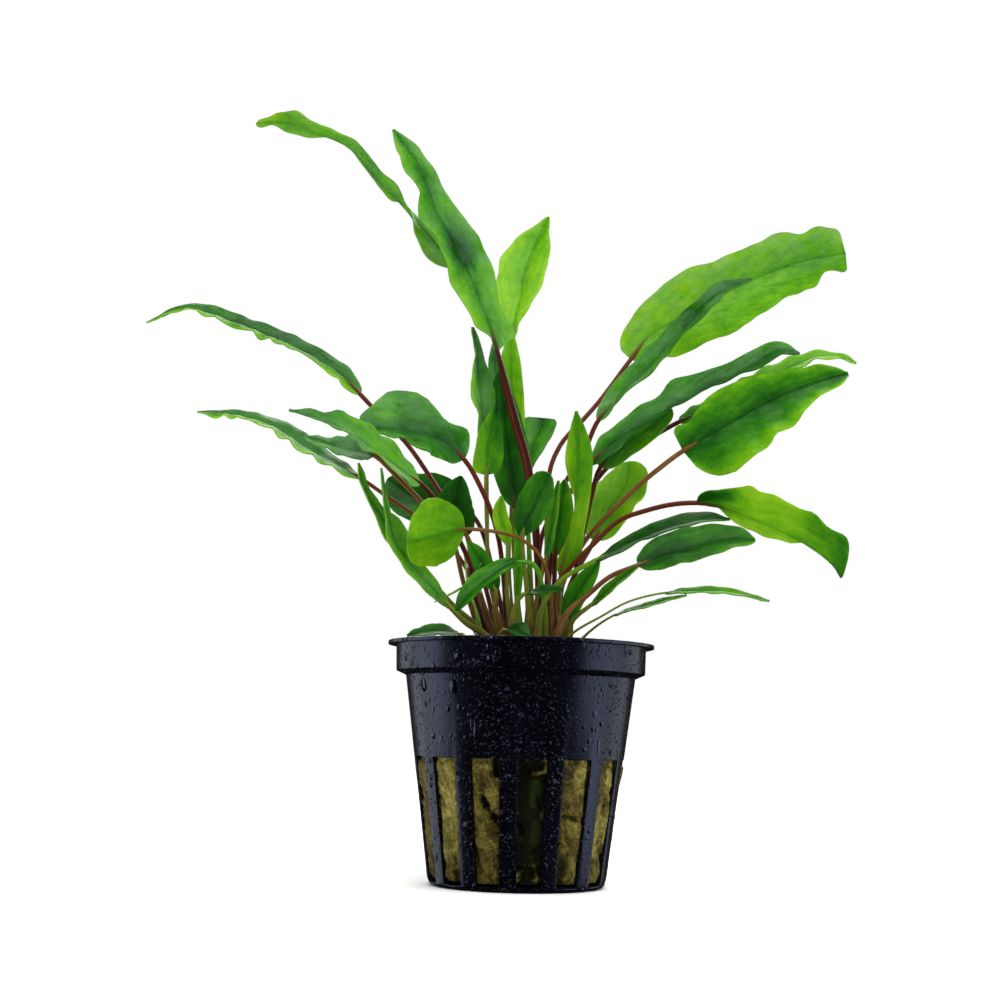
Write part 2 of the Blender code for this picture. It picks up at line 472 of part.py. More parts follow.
def seen(across, depth, up):
    """Place a point that the front shows at (across, up) at its own depth."""
    spread = 1 + depth / EYE_DISTANCE
    return Vector((across * spread, depth, EYE_HEIGHT + (up - EYE_HEIGHT) * spread))


def catmull_rom(a, b, c, d, share):
    """A point between b and c on the smooth curve through a, b, c and d."""
    return 0.5 * (
        2 * b + (c - a) * share
        + (2 * a - 5 * b + 4 * c - d) * share ** 2
        + (3 * b - a - 3 * c + d) * share ** 3)


class Path:
    """A smooth curve through a leaf's route, read by length."""

    def __init__(self, route):
        knots = [seen(*point) for point in route]
        knots[0].z = FOOT_HEIGHT
        before = knots[0] * 2 - knots[1]
        after = knots[-1] * 2 - knots[-2]
        padded = [before, *knots, after]
        self.points = [knots[0]]
        self.knot_lengths = [0.0]
        self.lengths = [0.0]
        for index in range(len(knots) - 1):
            for sample in range(1, SAMPLES_PER_SPAN + 1):
                point = catmull_rom(*padded[index:index + 4], sample / SAMPLES_PER_SPAN)
                self.lengths.append(self.lengths[-1] + (point - self.points[-1]).length)
                self.points.append(point)
            self.knot_lengths.append(self.lengths[-1])

    def at(self, length):
        """The point at a length along the curve."""
        length = min(max(length, 0.0), self.lengths[-1])
        index = min(bisect.bisect_right(self.lengths, length), len(self.points) - 1)
        start = self.lengths[index - 1]
        share = (length - start) / (self.lengths[index] - start)
        return self.points[index - 1].lerp(self.points[index], share)

    def direction(self, length):
        """The unit tangent at a length along the curve, upright at the foot."""
        if length == 0:
            return Vector((0, 0, 1))
        return (self.at(length + 0.4) - self.at(length - 0.4)).normalized()


def blade_width(leaf, share):
    """Width of the blade at a share of its length: a lance shape."""
    base_power, tip_power = leaf.shape
    peak = base_power / (base_power + tip_power)
    highest = peak ** base_power * (1 - peak) ** tip_power
    lance = share ** base_power * (1 - share) ** tip_power / highest
    ends = leaf.stalk * (1 - share) + TIP_WIDTH * share
    return max(leaf.width * lance, ends)


def face_at(faces, share):
    """The way a blade's upper side faces at a share of its length."""
    below = [stop for stop in faces if stop[0] <= share] or faces[:1]
    above = [stop for stop in faces if stop[0] > share] or faces[-1:]
    (low, start), (high, end) = below[-1], above[0]
    mixed = (share - low) / (high - low) if high > low else 0
    return Vector(start).normalized().lerp(Vector(end).normalized(), min(max(mixed, 0), 1))


def trim_at(leaf, side, share):
    """How much narrower or wider than its lance shape a half of the blade is."""
    steps = leaf.high if side > 0 else leaf.low
    spot = min(max(share, 0), 1) * (len(steps) - 1)
    index = int(spot)
    following = steps[min(index + 1, len(steps) - 1)]
    return steps[index] + (following - steps[index]) * (spot - index)


def ring_points(leaf, path, length, width, thickness, opened):
    """Six points round a leaf: a round stalk, opening into a folded blade."""
    start = path.knot_lengths[leaf.blade_start]
    share = (length - start) / (path.lengths[-1] - start)
    along = path.direction(length)
    face = face_at(leaf.faces, share)
    face = (face - along * face.dot(along)).normalized()
    across = along.cross(face)
    centre = path.at(length)
    points = []
    keel = 0.5 * (1 - opened) + KEEL_SHARE * opened
    for side, lift in ((-1, 0), (-keel, 1), (keel, 1), (1, 0), (keel, -1), (-keel, -1)):
        height = lift * thickness / 2 * (0.87 * (1 - opened) + opened)
        height += opened * leaf.fold * (abs(side) - 0.5) * width / 2
        trim = 1 + (trim_at(leaf, side, share) - 1) * opened
        half = max(width / 2 * trim, NARROWEST_HALF)
        reach = (side + abs(side) * leaf.lean * opened) * half
        points.append(centre + across * reach + face * height)
    return points


def leaf_stations(leaf, path):
    """Yield (length, width, thickness, opened) from the leaf's foot to its tip."""
    start = path.knot_lengths[leaf.blade_start]
    blade = path.lengths[-1] - start
    foot_width = leaf.stalk * 1.15
    spans = max(2, round(start / 9))
    for number in range(spans):
        share = number / spans
        width = foot_width + (leaf.stalk - foot_width) * share
        yield share * start, width, width, 0
    for number in range(leaf.segments + 1):
        share = number / leaf.segments
        width = blade_width(leaf, share)
        opened = min(1, 3 * share)
        thickness = leaf.stalk + (BLADE_THICKNESS - leaf.stalk) * min(1, 4 * share)
        if share == 1:
            thickness = BLADE_THICKNESS / 2
        yield start + share * blade, width, thickness, opened


def make_leaf(name, leaf, finish, parent):
    """Loft one leaf from its foot on the rootstock to its tip."""
    path = Path(leaf.route)
    bm = bmesh.new()
    rings = []
    for length, width, thickness, opened in leaf_stations(leaf, path):
        points = ring_points(leaf, path, length, width, thickness, opened)
        verts = bmesh.ops.create_circle(bm, segments=len(points), radius=1)["verts"]
        for vert, point in zip(verts, points):
            vert.co = point
        rings.append([bm.edges.get((a, b)) for a, b in zip(verts, verts[1:] + verts[:1])])
    for ring, following in zip(rings, rings[1:]):
        bmesh.ops.bridge_loops(bm, edges=ring + following)
    bmesh.ops.contextual_create(bm, geom=rings[0])
    bmesh.ops.contextual_create(bm, geom=rings[-1])
    bmesh.ops.triangulate(bm, faces=bm.faces)
    return add_object(name, bm, finish, parent, smooth_angle=60)


def main():
    clear_scene()
    plant = bpy.data.objects.new("potted_cryptocoryne", None)
    bpy.context.scene.collection.objects.link(plant)
    make_pot(plant)
    make_wool(plant)
    make_rootstock(plant)
    green = material("leaf_green", (0.08, 0.3, 0.03), 0.4)
    for name, leaf in LEAVES.items():
        make_leaf(name, leaf, green, plant)


main()
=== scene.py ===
# %% [markdown]
# # Potted cryptocoryne
# A marsh plant for an aquarium, in the black slotted pot that it is sold in. This
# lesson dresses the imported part: each solid leaf is replaced by a grown one, the pot
# by a moulded one, and the plug by wool that swells into the slots. It runs from top
# to bottom in Blender, and every length is in metres in the frame of the part.

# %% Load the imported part
import bisect
import math
import random
from dataclasses import dataclass

import bmesh
import bpy
from mathutils import Matrix, Vector, noise


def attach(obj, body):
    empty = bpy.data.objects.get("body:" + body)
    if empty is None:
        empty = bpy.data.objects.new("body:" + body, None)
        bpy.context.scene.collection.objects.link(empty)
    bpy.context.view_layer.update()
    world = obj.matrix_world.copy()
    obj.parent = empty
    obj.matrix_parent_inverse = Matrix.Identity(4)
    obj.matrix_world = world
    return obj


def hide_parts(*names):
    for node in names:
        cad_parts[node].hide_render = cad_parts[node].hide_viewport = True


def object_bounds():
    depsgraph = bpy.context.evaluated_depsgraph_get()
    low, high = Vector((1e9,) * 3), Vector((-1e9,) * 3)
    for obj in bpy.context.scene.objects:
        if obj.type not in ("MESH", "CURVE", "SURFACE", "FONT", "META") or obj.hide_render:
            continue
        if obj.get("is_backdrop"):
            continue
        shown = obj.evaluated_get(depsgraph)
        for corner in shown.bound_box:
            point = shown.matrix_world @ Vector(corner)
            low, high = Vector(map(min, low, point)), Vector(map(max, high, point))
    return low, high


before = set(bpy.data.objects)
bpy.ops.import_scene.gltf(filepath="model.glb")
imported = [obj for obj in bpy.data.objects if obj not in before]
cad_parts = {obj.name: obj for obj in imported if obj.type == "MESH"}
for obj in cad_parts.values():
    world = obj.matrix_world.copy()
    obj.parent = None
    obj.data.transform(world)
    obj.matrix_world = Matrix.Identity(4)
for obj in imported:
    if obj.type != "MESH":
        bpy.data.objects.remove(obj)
cad_low, cad_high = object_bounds()
MM = 0.001
print(f"{len(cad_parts)} nodes, {(cad_high - cad_low).z / MM:.1f} mm high")

# %% [markdown]
# ## Camera
# The picture was taken with a short working distance, a little above the pot's foot
# and looking up. A camera can be placed by an empty that it tracks, but here its
# three turns are written out: the first tips it up, the second swings it to the left
# and the third rolls it, each about its own axis.

# %% Place the camera
EYE_DISTANCE = 350
EYE_HEIGHT = 30.3
FOCAL_LENGTH = 59.51
PITCH = 8.17
YAW = 0.842
ROLL = 1.25

camera = bpy.data.objects.new("camera", bpy.data.cameras.new("camera"))
bpy.context.scene.collection.objects.link(camera)
camera.data.lens = FOCAL_LENGTH
camera.data.sensor_width = 36
camera.data.clip_start = 0.01
turn = Matrix.Rotation(math.radians(YAW), 4, "Z")
tip = Matrix.Rotation(math.radians(90 + PITCH), 4, "X")
roll = Matrix.Rotation(math.radians(ROLL), 4, "Z")
camera.matrix_world = Matrix.Translation((0, -EYE_DISTANCE * MM, EYE_HEIGHT * MM)) @ turn @ tip @ roll
bpy.context.scene.camera = camera
bpy.context.scene.view_settings.view_transform = "Standard"
print(f"camera {EYE_DISTANCE} mm in front of the pot's axis")

# %% [markdown]
# ## Shader maths
# A material is a net of nodes. Written node by node it is long and hard to read, so
# one small class wraps a socket and lets it take part in sums: `0.4 + 0.6 * mask`
# adds the Math nodes for it. The graph class makes any other node from its type, its
# settings and its sockets' values.

# %% Wire and Graph
class Wire:
    """An output socket of numbers that takes part in sums."""

    def __init__(self, graph, socket):
        self.graph = graph
        self.socket = socket

    def __add__(self, other):
        return self.graph.math("ADD", self, other)

    def __sub__(self, other):
        return self.graph.math("SUBTRACT", self, other)

    def __rsub__(self, other):
        return self.graph.math("SUBTRACT", other, self)

    def __mul__(self, other):
        return self.graph.math("MULTIPLY", self, other)

    def __truediv__(self, other):
        return self.graph.math("DIVIDE", self, other)

    def __pow__(self, other):
        return self.graph.math("POWER", self, other)

    def __abs__(self):
        return self.graph.math("ABSOLUTE", self)

    __radd__ = __add__
    __rmul__ = __mul__

    def sine(self):
        return self.graph.math("SINE", self)

    def between(self, low, high):
        """0 below low, 1 above high, smooth in between."""
        return self.graph.node(
            "ShaderNodeMapRange", {"interpolation_type": "SMOOTHSTEP"},
            {"Value": self, "From Min": low, "From Max": high})

    def limited(self):
        return self.graph.node("ShaderNodeClamp", {}, {"Value": self})


class Graph:
    """A material, or the world, that is being drawn."""

    def __init__(self, name, owner=None):
        self.owner = owner or bpy.data.materials.new(name)
        self.owner.use_nodes = True
        self.tree = self.owner.node_tree
        self.tree.nodes.clear()

    def node(self, kind, settings, sockets, out=0):
        """Make a node: its type, its settings, its sockets' values or links."""
        made = self.tree.nodes.new(kind)
        for name, value in settings.items():
            if name == "stops":
                self.set_stops(made.color_ramp, value)
            else:
                setattr(made, name, value)
        for name, value in sockets.items():
            if isinstance(value, Wire):
                self.tree.links.new(value.socket, made.inputs[name])
            else:
                made.inputs[name].default_value = value
        return Wire(self, made.outputs[out]) if made.outputs else made

    def set_stops(self, ramp, stops):
        while len(ramp.elements) < len(stops):
            ramp.elements.new(1)
        for element, (place, colour) in zip(ramp.elements, stops):
            element.position = place
            element.color = (*colour, 1)

    def math(self, operation, first, second=0.0):
        return self.node("ShaderNodeMath", {"operation": operation}, {0: first, 1: second})

    def place(self):
        """The surface point in the part's frame, in metres."""
        return self.node("ShaderNodeTexCoord", {}, {}, "Object")

    def attribute(self, name):
        """A number that the mesh carries at each vertex."""
        return self.node("ShaderNodeAttribute", {"attribute_name": name}, {}, "Fac")

    def stretched(self, vector, x, y, z):
        return self.node("ShaderNodeVectorMath", {"operation": "MULTIPLY"}, {0: vector, 1: (x, y, z)})

    def parts(self, vector):
        split = self.node("ShaderNodeSeparateXYZ", {}, {"Vector": vector}).socket.node
        return [Wire(self, output) for output in split.outputs]

    def joined(self, x, y, z):
        return self.node("ShaderNodeCombineXYZ", {}, {"X": x, "Y": y, "Z": z})

    def wobbled(self, vector, scale, detail, reach):
        """Shift a pattern's place by noise, so that its lines aren't straight."""
        shift = self.node(
            "ShaderNodeTexNoise", {}, {"Vector": vector, "Scale": scale, "Detail": detail}, "Color")
        return self.node("ShaderNodeVectorMath", {"operation": "ADD"}, {
            0: vector, 1: self.stretched(shift, reach, reach, reach)})

    def noise(self, vector, scale, detail=2.0, roughness=0.5):
        return self.node("ShaderNodeTexNoise", {}, {
            "Vector": vector, "Scale": scale, "Detail": detail, "Roughness": roughness})

    def mix(self, factor, first, second):
        return self.node("ShaderNodeMix", {"data_type": "RGBA"}, {0: factor, 6: first, 7: second}, 2)

    def ramp(self, factor, stops):
        return self.node("ShaderNodeValToRGB", {"stops": stops}, {"Fac": factor})

    def bump(self, height, distance, strength=1.0):
        """Height is in metres when distance is 1."""
        return self.node("ShaderNodeBump", {}, {
            "Height": height, "Distance": distance, "Strength": strength})

    def principled(self, **values):
        named = {name.replace("_", " "): value for name, value in values.items()}
        return self.node("ShaderNodeBsdfPrincipled", {}, named)

    def finish(self, shader):
        self.node("ShaderNodeOutputMaterial", {}, {"Surface": shader})
        return self.owner


def colour(red, green, blue):
    """A screen colour from 0 to 255, as the light that a shader works with."""
    parts = (red, green, blue)
    return tuple(((part / 255 + 0.055) / 1.055) ** 2.4 if part > 10 else part / 3295 for part in parts)


print("wires and graphs are ready")

# %% [markdown]
# ## Studio
# The plant stands in an even white room. A white backdrop could light it too, but
# then the black pot would mirror it and look grey. So the room is white only to the
# camera and dim to everything else, and soft panels do the lighting: two on each
# side make the long glints on the pot, the hinder one weaker because plastic mirrors
# more at a glancing angle. One above shapes the leaves, and one behind shines
# through them.

# %% Room, floor and panels
ROOM_LIGHT = 0.42
ROOM_GLINT = 0.01
FLOOR_RADIUS = 3
PANEL_AIM = Vector((0, 0, 0.07))

room = Graph("room", bpy.data.worlds.new("room"))
seen_directly = room.node("ShaderNodeLightPath", {}, {}, "Is Camera Ray")
mirrored = room.node("ShaderNodeLightPath", {}, {}, "Is Glossy Ray")
unseen = ROOM_LIGHT + (ROOM_GLINT - ROOM_LIGHT) * mirrored
brightness = unseen * (1 - seen_directly) + seen_directly
background = room.node("ShaderNodeBackground", {}, {"Color": (1, 1, 1, 1), "Strength": brightness})
room.node("ShaderNodeOutputWorld", {}, {"Surface": background})
bpy.context.scene.world = room.owner

floor_shape = bmesh.new()
bmesh.ops.create_circle(floor_shape, cap_ends=True, segments=96, radius=FLOOR_RADIUS)
floor_mesh = bpy.data.meshes.new("floor")
floor_shape.to_mesh(floor_mesh)
floor_shape.free()
floor = bpy.data.objects.new("floor", floor_mesh)
bpy.context.scene.collection.objects.link(floor)
floor.visible_glossy = False
floor.visible_shadow = False
paper = Graph("white_paper")
from_pot = paper.node("ShaderNodeVectorMath", {"operation": "LENGTH"}, {0: paper.place()}, "Value")
far_off = from_pot.between(0.03, 0.4) * 0.7
floor_mesh.materials.append(paper.finish(paper.principled(
    Base_Color=(0.9, 0.9, 0.9, 1), Roughness=0.9, Specular_IOR_Level=0.1,
    Emission_Color=paper.mix(far_off, (0, 0, 0, 1), (1, 1, 1, 1)), Emission_Strength=1.0)))
floor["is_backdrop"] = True


def panel(name, azimuth, height, distance, size, power, light_tint):
    """Hang a soft panel: azimuth runs from the camera's side towards the right."""
    light = bpy.data.lights.new(name, "AREA")
    light.shape = "RECTANGLE"
    light.size, light.size_y = size
    light.energy = power
    light.color = light_tint
    hung = bpy.data.objects.new(name, light)
    bpy.context.scene.collection.objects.link(hung)
    angle = math.radians(azimuth)
    place = Vector((math.sin(angle) * distance, -math.cos(angle) * distance, height))
    facing = (PANEL_AIM - place).to_track_quat("-Z", "Y")
    hung.matrix_world = Matrix.Translation(place) @ facing.to_matrix().to_4x4()
    return hung


panel("left_front", -90, 0.1, 0.55, (0.26, 0.7), 1.1, (0.76, 0.81, 1))
panel("left_back", -120, 0.1, 0.55, (0.4, 0.7), 0.9, (0.9, 0.93, 1))
panel("right_front", 80, 0.1, 0.55, (0.36, 0.7), 1.4, (0.76, 0.81, 1))
panel("right_back", 118, 0.1, 0.55, (0.36, 0.7), 0.7, (0.9, 0.93, 1))
panel("top_panel", 20, 0.8, 0.25, (0.7, 0.7), 9, (1, 0.99, 0.96))
panel("back_panel", 170, 0.45, 0.6, (0.7, 0.5), 5, (1, 0.99, 0.95))
print("floor, room and six panels are up")

# %% [markdown]
# ## Where each leaf runs
# A cryptocoryne grows from a short crown. Each leaf has a thin stalk and a long blade
# with a waved edge, and the whole leaf follows one smooth line from the crown to its
# tip. Modelling 44 leaves by hand would be slow, so each one is a row of numbers:
# the line it follows, where its blade starts, how wide it is and which way its upper
# side faces. The first numbers are those of the solid part, so that both agree, and
# the last ones give its looks. Low and high trim the two halves of the blade at even
# steps from its base to its tip. The brightness of the green is read in the same way;
# it is partly the leaf's own colour and partly painted light and shade, brighter where
# a blade is lit from behind and darker where it lies in shade. The painted side light
# and shade that is added to it, and a painted grey sheen in place of the wax's shine,
# are read from one edge to the other, because one half of a blade often lies in the
# light and the other doesn't. A patch is a place of painted shade or light, such as
# the shadow that one leaf casts through another: where it is along and across the
# blade, how far it reaches both ways, and what it adds.

# %% The table of leaves
@dataclass
class Leaf:
    """One leaf: its route in millimetres, its outline and its looks."""
    route: tuple
    blade_start: int
    width: float
    faces: tuple
    shape: tuple = (0.52, 0.7)
    stalk: float = 1.3
    lean: float = 0.0
    # Brightness of the green along the blade: partly the leaf's own colour, partly painted light and shade.
    glow: tuple = (0.5,)
    # Painted light and shade added across the blade, from one edge to the other.
    light_tint: tuple = (0,)
    ruffle: tuple = (0.3, 4)
    lobes: tuple = (0, 1)
    low: tuple = (1,)
    high: tuple = (1,)
    # Painted patches of shade or light, such as one leaf's shadow on another.
    light_and_shade_patches: tuple = ()
    # A painted grey sheen across the blade, in place of the wax's shine.
    bloom: tuple = (0,)
    red: float = 0.5
    stem: float = 0.8


LEAVES = {
    # High leaves at the upper left and upper middle
    "leaf_01": Leaf(
        ((2.2, 0.4, 47), (3.2, 1.0, 62), (0.9, 1.2, 84), (-4.2, 2.2, 103), (-8.5, 5.5, 121),
         (-15.2, 9, 131.3), (-21.1, 11, 137.6), (-28, 13, 146.2), (-33.3, 14, 151.6), (-39.5, 15, 158.5),
         (-46.5, 15.6, 161.8), (-54.1, 16.2, 164.2), (-60.9, 17, 163.6)),
        5, 8.5,
        ((0.2, (0.45, -0.85, 0.4)), (0.34, (0.7, 0.15, 0.6)), (0.74, (0.4, 0, 0.9)),
         (0.9, (-0.1, 0.75, 0.6))), shape=(0.32, 0.45),
        low=(1, 1.6, 1.4, 1.05, 0.8, 0.45, 0.3, 0.6, 0.75, 1, 1.2, 1.15, 1.3, 1.15, 1, 1.1, 1, 1.2, 1.05,
             0.7, 1),
        high=(1, 0.4, 0.2, 0.3, 0.5, 0.7, 0.5, 0.4, 1.15, 1.3, 1.8, 1.9, 1.35, 0.6, 0.3, 0.7, 1.1, 1.05,
              0.95, 0.35, 1), glow=(0.72, 0.6, 0.5, 0.62, 0.75), ruffle=(0.4, 6), bloom=(0.15, 0.1, 0.15),
        red=0.8),
    "leaf_02": Leaf(
        ((3.7, -2.6, 47), (3.6, -3.5, 66), (1.4, -3, 86), (-1.9, -2, 98), (-6.5, -0.5, 113.4),
         (-9.4, 1, 122), (-16, 3, 137.4), (-20.6, 4.5, 144.8), (-24.5, 6, 154.4), (-30.5, 7, 162.9)),
        4, 9.0, ((0, (0.3, -0.9, 0.2)), (1, (0.5, -0.8, 0.2))), shape=(0.42, 0.62),
        low=(0.5, 0.2, 0.95, 1, 1.05, 1.1, 1.2, 1.1, 1, 1, 1, 1.1, 1.25, 1, 0.7, 0.9, 1.35, 1.5, 1.5, 1.3,
             1),
        high=(1, 2, 1.3, 1.1, 1.05, 1.15, 1.25, 1.3, 1.3, 1.25, 1.2, 1.2, 1.2, 1.05, 1.05, 1, 1, 1.1, 1.4,
              1.1, 1), glow=(0.66, 0.64, 0.5, 0.5, 0.58), light_tint=(0.1, 0, -0.08, 0, 0), ruffle=(0.5, 6),
        light_and_shade_patches=((0.43, -0.1, 0.08, 0.6, -0.55),), bloom=(0.1, 0.1, 0.3), red=1.0),
    "leaf_03": Leaf(
        ((0.4, 7, 47), (-2, 12, 70), (-2.6, 16.5, 88), (-2.8, 19, 103), (-3.2, 21, 116), (-2, 25, 124.6),
         (-0.4, 30, 133), (4.2, 35, 143.5)),
        4, 11.0, ((0, (-0.1, -0.85, 0.5)),), shape=(0.8, 0.62),
        low=(1, 2, 1.8, 1.5, 1.25, 1.1, 1.2, 1.05, 0.95, 0.65, 0.6),
        high=(1, 0.5, 0.7, 0.8, 0.95, 0.95, 0.95, 0.9, 0.75, 0.5, 0.4), glow=(0.78, 0.84, 0.8), red=0.2),
    "leaf_04": Leaf(
        ((1.1, 3.8, 47), (1.4, 5, 66), (0.4, 7.4, 80), (-1.6, 10, 92), (-3.2, 12, 104), (-3.5, 13.4, 111.1),
         (-3.7, 15, 117.9)),
        3, 5.5, ((0, (0.1, -0.9, 0.4)),), glow=(0.78,), red=0.1),
    "leaf_05": Leaf(
        ((-3.2, 3.2, 47), (-7, 2.6, 65), (-7.8, 2.4, 80), (-8.2, 2.2, 91), (-9.2, 2, 101),
         (-10.4, 2.4, 110), (-11.8, 3, 118.4)),
        3, 6.5, ((0, (0.65, -0.7, 0.2)),), low=(1, 1, 0.8, 0.6, 1, 1, 0.75, 0.5, 0.25, 0.3, 1),
        high=(1, 1, 1, 1, 1, 1, 1, 0.7, 0.8, 0.65, 1), glow=(0.42,), light_tint=(0.25, 0.05, 0, 0, 0),
        bloom=(0.2, 0.3, 0.3), red=0.3, stem=0.5),
    "leaf_06": Leaf(
        ((-1, 3.2, 47), (-2.8, 5, 66), (-2.8, 7, 82), (-3.6, 8.4, 95), (-5, 8.8, 102), (-6.5, 9.2, 108),
         (-7.3, 9.6, 114.6)),
        3, 5.0, ((0, (0.5, -0.75, 0.3)),), glow=(0.4,), bloom=(0.3, 0.3, 0.3), red=0.25, stem=0.5),
    # The dense middle
    "leaf_07": Leaf(
        ((2.9, 7.2, 47), (1.6, 8, 66), (0.4, 10.4, 84.5), (1.2, 13.4, 91.6), (3.6, 19.5, 98.6)),
        2, 9.0, ((0, (-0.1, -0.7, 0.65)),), shape=(1.0, 0.25), high=(0.9,), glow=(0.36,), red=0.3),
    "leaf_08": Leaf(
        ((-2.1, 0, 47), (-6.8, -0.5, 62), (-7.8, -1, 74), (-8.3, -1, 86), (-7.8, -1.4, 93),
         (-6.2, -2, 102.4)),
        3, 7.0, ((0, (0.1, -0.95, 0.1)),), shape=(0.35, 1.1),
        low=(1, 0.9, 0.8, 0.8, 0.8, 0.9, 1, 1, 1, 1, 1), glow=(0.72, 0.66, 0.4, 0.25),
        light_tint=(0.1, 0.05, 0, -0.2, -0.25), red=0.3, stem=0.6),
    "leaf_09": Leaf(
        ((-0.4, -2.9, 47), (-1.2, -1.5, 62), (-0.8, 1, 73), (-1.7, 3, 79), (-3, 4.8, 88), (-4.4, 5.6, 97),
         (-6, 6.2, 108.6)),
        3, 8.5, ((0, (0.1, -0.95, 0.1)),), glow=(0.2, 0.3), red=0.9, stem=0.6),
    "leaf_10": Leaf(
        ((2.5, -9, 47), (0.9, -8.8, 62), (-0.2, -9.4, 73), (2.3, -13, 80), (5.2, -18, 86.5)),
        2, 7.5, ((0, (-0.1, -0.9, 0.3)),), shape=(0.5, 0.45), glow=(0.28, 0.34), red=0.2),
    "leaf_11": Leaf(
        ((0.2, -8, 47), (-1, -6.8, 58), (-0.9, -6.3, 66), (-1.2, -6, 78.5)),
        1, 2.0, ((0, (0, -1, 0)),), glow=(0.7,), ruffle=(0.1, 2), red=0),
    "leaf_12": Leaf(
        ((4.7, -9.2, 47), (4.8, -10.4, 57), (4, -11.8, 63), (2.6, -13, 66.6), (0.2, -14, 67.4),
         (-2.5, -15, 67.1), (-5.5, -16, 65.3), (-10.1, -17.5, 61.6), (-14, -19, 56.8)),
        4, 6.5, ((0, (0, -0.5, 0.85)),), low=(1, 0.8, 0.6, 0.6, 0.6, 0.8, 1), glow=(0.38, 0.42, 0.3),
        ruffle=(0.2, 3), red=0),
    "leaf_13": Leaf(
        ((-0.3, -11.8, 47), (-2, -12.5, 54), (-1, -13.5, 59), (1, -14.5, 60.8), (4.5, -16, 61.4),
         (8.6, -17.5, 61.6)),
        3, 4.5, ((0, (0, -0.5, 0.85)),), stalk=1.1, glow=(0.15,), ruffle=(0.2, 2), red=0.1),
    "leaf_14": Leaf(
        ((-2.6, -11.2, 47), (-4.6, -13.4, 51.4), (-3.6, -15, 52.8), (-1.2, -17, 53.3), (1.6, -18.5, 51.4)),
        2, 4.6, ((0, (0, -0.6, 0.8)),), stalk=1.1, glow=(0.12, 0.2), ruffle=(0.2, 2), red=0.1),
    "leaf_15": Leaf(
        ((-8.4, 7, 47), (-10.8, 6.6, 50), (-13.2, 6.2, 51.8), (-18.1, 5.6, 52.5), (-24.2, 5, 51.3)),
        2, 5.5, ((0, (0, -0.5, 0.9)),), stalk=1.1, glow=(0.34,), ruffle=(0.2, 3), red=0.1),
    # Leaves to the left
    "leaf_16": Leaf(
        ((-3.9, 6.2, 47), (-8.2, 6.4, 63), (-12.2, 7, 73), (-18.4, 7.5, 82.5), (-24.8, 8, 91.6),
         (-30.6, 8.5, 97.6), (-36, 9, 103.2), (-41.8, 9.5, 108.8), (-51.9, 10.5, 114.3), (-63, 11.5, 118.7),
         (-74, 12.5, 121.7), (-83, 13.5, 118.2)),
        6, 10.0, ((0, (0.2, -0.5, 0.83)), (1, (0, -0.4, 0.9))), shape=(0.4, 0.7),
        low=(1, 0.6, 0.6, 0.65, 0.75, 0.85, 0.95, 1, 1, 1, 1),
        high=(1, 1, 0.9, 0.8, 0.75, 0.7, 0.75, 0.9, 1, 1, 1), glow=(0.5, 0.3, 0.25, 0.35, 0.45),
        light_tint=(0.4, 0.25, 0, -0.05, -0.1), ruffle=(0.2, 8), lobes=(0.7, 9), bloom=(0, 0.1, 0.3), red=0.8),
    "leaf_17": Leaf(
        ((-2.5, -2.8, 47), (-4.4, -4.1, 67), (-6.2, -5, 75.6), (-9, -5.5, 82.5), (-13.1, -6.5, 89.3),
         (-19.7, -9.5, 94.6), (-27.1, -13.4, 96), (-35.1, -18, 95.8)),
        4, 15.5, ((0, (0, -0.85, 0.5)), (1, (-0.2, -0.8, 0.6))), shape=(0.5, 0.5), lean=0.35,
        low=(1, 0.8, 1, 1.25, 1.5, 1.5, 1.4, 1.2, 1.1, 1, 1),
        high=(1, 1.05, 0.65, 0.5, 0.85, 1.1, 1.1, 0.95, 0.8, 0.75, 1), glow=(0.28, 0.3, 0.34),
        light_tint=(0.1, 0, -0.04, 0.02, 0.08), ruffle=(0.5, 4), light_and_shade_patches=((0.72, 0.45, 0.1, 0.25, 0.25),),
        bloom=(0.05, 0.1, 0.2), red=0.8),
    "leaf_18": Leaf(
        ((-5.7, -5.4, 47), (-10.4, -8, 61), (-11.2, -10, 66.5), (-14.6, -13, 73.6), (-18.4, -16, 79.6),
         (-22.3, -19, 83.8), (-26.9, -21.5, 87.2), (-31.8, -23.5, 91), (-37.9, -25.5, 95),
         (-44.4, -27, 97.6), (-51.1, -28, 99.4)),
        5, 10.0, ((0, (0.35, -0.6, 0.72)), (1, (0.1, -0.6, 0.8))), shape=(0.5, 0.9),
        low=(1, 0.9, 0.6, 0.5, 0.7, 0.8, 0.35, 0.65, 0.4, 0.3, 1),
        high=(1, 1.3, 1.25, 1.2, 1.15, 1.2, 1.25, 1.3, 1.05, 1.05, 1), glow=(0.62, 0.6, 0.5, 0.38),
        light_tint=(-0.1, 0, 0.08, 0, -0.1), ruffle=(0.5, 5), bloom=(0.4, 0.2, 0.1), red=0.9),
    "leaf_19": Leaf(
        ((-5.8, 3.6, 47), (-9.6, 3.8, 60), (-12.8, 4, 67), (-18.2, 4, 73.2), (-24.4, 3.5, 77.6),
         (-29.6, 3, 81), (-35.1, 2, 84.7), (-40.1, 1.5, 87.6), (-46.5, 1, 91.2), (-53.1, 0.5, 95.4),
         (-61.6, 0, 98), (-70.9, 0, 98.6)),
        6, 9.0, ((0, (0.25, -0.4, 0.88)), (1, (0, -0.35, 0.93))), glow=(0.32,),
        light_tint=(0.45, 0.14, 0, -0.05, -0.1), ruffle=(0.2, 7), bloom=(0, 0.15, 0.35), lobes=(0.8, 7), red=0.6,
        stem=0.7),
    "leaf_20": Leaf(
        ((-7, 0.4, 47), (-12.3, -1.5, 62), (-15.1, -3, 71.6), (-21.2, -5.5, 79), (-27.2, -8, 85),
         (-32.5, -10, 89.8), (-39.4, -12, 91.6), (-47.7, -13, 93.6)),
